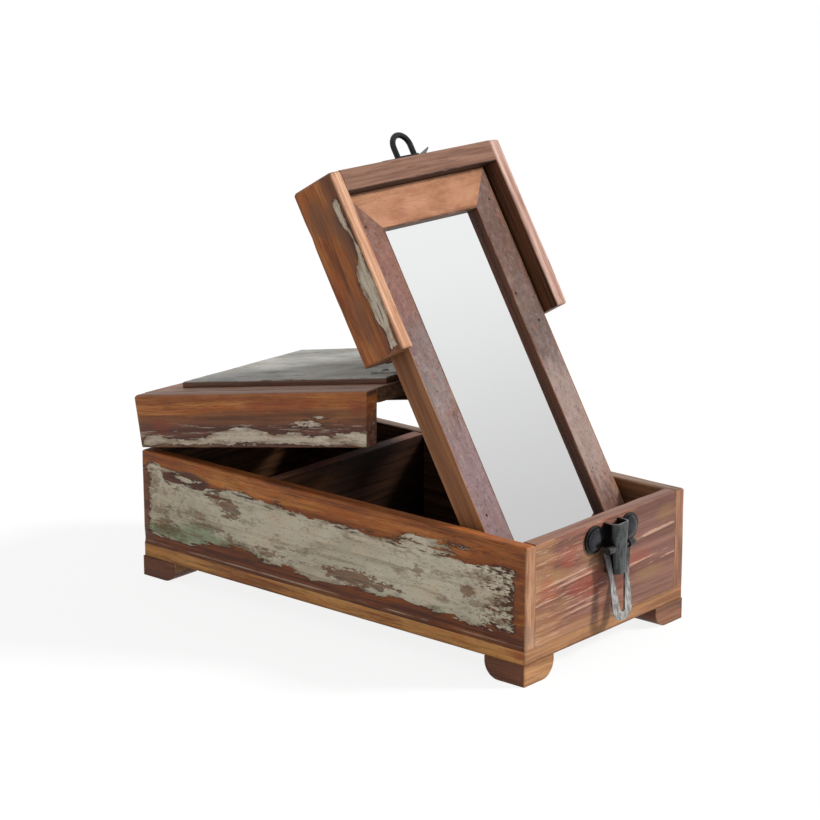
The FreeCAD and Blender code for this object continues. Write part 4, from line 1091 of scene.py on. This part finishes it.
def add_hinge_screws(steel, painted):
    """Two screws in each leaf; leaves lie on the back wall or on the raised panels."""
    for node in [name for name in frame["nodes"] if "_leaf_" in name]:
        low, high = shut_box(node)
        across = (low.x + high.x) / 2
        for number, shift in enumerate((-SCREW_SHIFT, SCREW_SHIFT), 1):
            if node.startswith("back"):
                along = low.z + SCREW_INSET if "_base_" in node else high.z - SCREW_INSET
                place, outward = (across + shift, low.y + LEAF, along), (0, 1, 0)
            else:
                along = low.y + SCREW_INSET if "_hood_" in node else high.y - SCREW_INSET
                place, outward = (across + shift, along, low.z + LEAF), (0, 0, 1)
            material = painted if node.startswith("mid_hinge_leaf_lid") else steel
            add_head(f"{node}_screw_{number}", body_of(node), material, place, outward,
                     2.9 * MM, 1.2 * MM, 0.8 * MM)


def add_fasteners(finishes):
    add_hinge_screws(finishes["screw"], finishes["painted"])
    for side, shift in (("left", -CLOUT_SHIFT), ("right", CLOUT_SHIFT)):
        add_head(f"hasp_clout_{side}", "base", finishes["clout"],
                 ((HASP_X + shift) * MM, CLOUT_Y * MM, CLOUT_Z * MM), (0, -1, 0), 8.2 * MM, 2.8 * MM)
    for side, outer in (("left", -1), ("right", 1)):
        low, high = shut_box(f"frame_stile_{side}")
        for number, (run, across) in enumerate(FRAME_NAILS[side], 1):
            add_head(f"frame_nail_{side}_{number}", "mirror_lid", finishes["nail"],
                     (outer * across * MM, low.y + run * MM, low.z), (0, 0, -1), 1.1 * MM, 0.3 * MM)


# Floor, light and camera


def seen_rays(tree):
    """1 for rays that reach the eye straight, by a mirror or through glass."""
    path = tree.node("LightPath")
    return tree.most(*(path.outputs[f"Is {kind} Ray"] for kind in ("Camera", "Glossy", "Transmission")))


def set_stage():
    """White floor that lights the part like a grey one."""
    side = 6.0
    mesh = bpy.data.meshes.new("floor")
    mesh.from_pydata([(-side, -side, 0), (side, -side, 0), (side, side, 0), (-side, side, 0)], [],
                     [(0, 1, 2, 3)])
    floor = bpy.data.objects.new("floor", mesh)
    bpy.context.scene.collection.objects.link(floor)
    material = new_material("pale_floor")
    tree = Tree(material.node_tree)
    seen = seen_rays(tree)
    shaded = tree.node("BsdfDiffuse", {"Color": (0.15, 0.15, 0.15, 1)})
    glow = tree.node("Emission", {"Color": (1, 1, 1, 1), "Strength": 0.86})
    pale = tree.node("AddShader", {0: shaded.outputs[0], 1: glow.outputs[0]})
    bounce = tree.node("BsdfDiffuse", {"Color": (0.5, 0.5, 0.5, 1)})
    both = tree.node("MixShader", {0: seen, 1: bounce.outputs[0], 2: pale.outputs[0]})
    tree.node("OutputMaterial", {"Surface": both.outputs[0]})
    mesh.materials.append(material)


def set_world():
    world = bpy.data.worlds.new("studio")
    world.use_nodes = True
    world.node_tree.nodes.clear()
    tree = Tree(world.node_tree)
    seen = seen_rays(tree)
    strength = tree.sum(tree.product(seen, 0.5), 0.5)
    sky = tree.node("Background", {"Color": (1, 1, 1, 1), "Strength": strength})
    tree.node("OutputWorld", {"Surface": sky.outputs[0]})
    bpy.context.scene.world = world


def add_sun(name, towards, strength, spread):
    light = bpy.data.lights.new(name, "SUN")
    light.energy = strength
    light.angle = math.radians(spread)
    lamp = bpy.data.objects.new(name, light)
    lamp.rotation_euler = Vector(towards).to_track_quat("Z", "Y").to_euler()
    lamp.visible_glossy = False
    bpy.context.scene.collection.objects.link(lamp)


def add_camera():
    azimuth, elevation, roll = (math.radians(angle) for angle in CAMERA_TURN)
    back = Vector((math.sin(azimuth) * math.cos(elevation), -math.cos(azimuth) * math.cos(elevation),
                   math.sin(elevation)))
    right = Vector((0, 0, 1)).cross(back).normalized()
    up = back.cross(right)
    level = Matrix((right, up, back)).transposed()
    data = bpy.data.cameras.new("camera")
    data.sensor_width = 36.0
    data.lens = CAMERA_LENS
    camera = bpy.data.objects.new("camera", data)
    turn = level @ Matrix.Rotation(roll, 3, "Z")
    camera.matrix_world = Matrix.Translation(CAMERA_PLACE) @ turn.to_4x4()
    bpy.context.scene.collection.objects.link(camera)
    bpy.context.scene.camera = camera


finish_base()
finish_rear_lid()
finish_hood()
finish_mirror()
fasteners = finish_metals()
finish_glass()
wear_boards()
add_fasteners(fasteners)
set_stage()
set_world()
add_sun("key_light", towards=(0.58, -0.6, 0.55), strength=3.2, spread=12)
add_camera()
bpy.context.scene.view_settings.view_transform = "Standard"
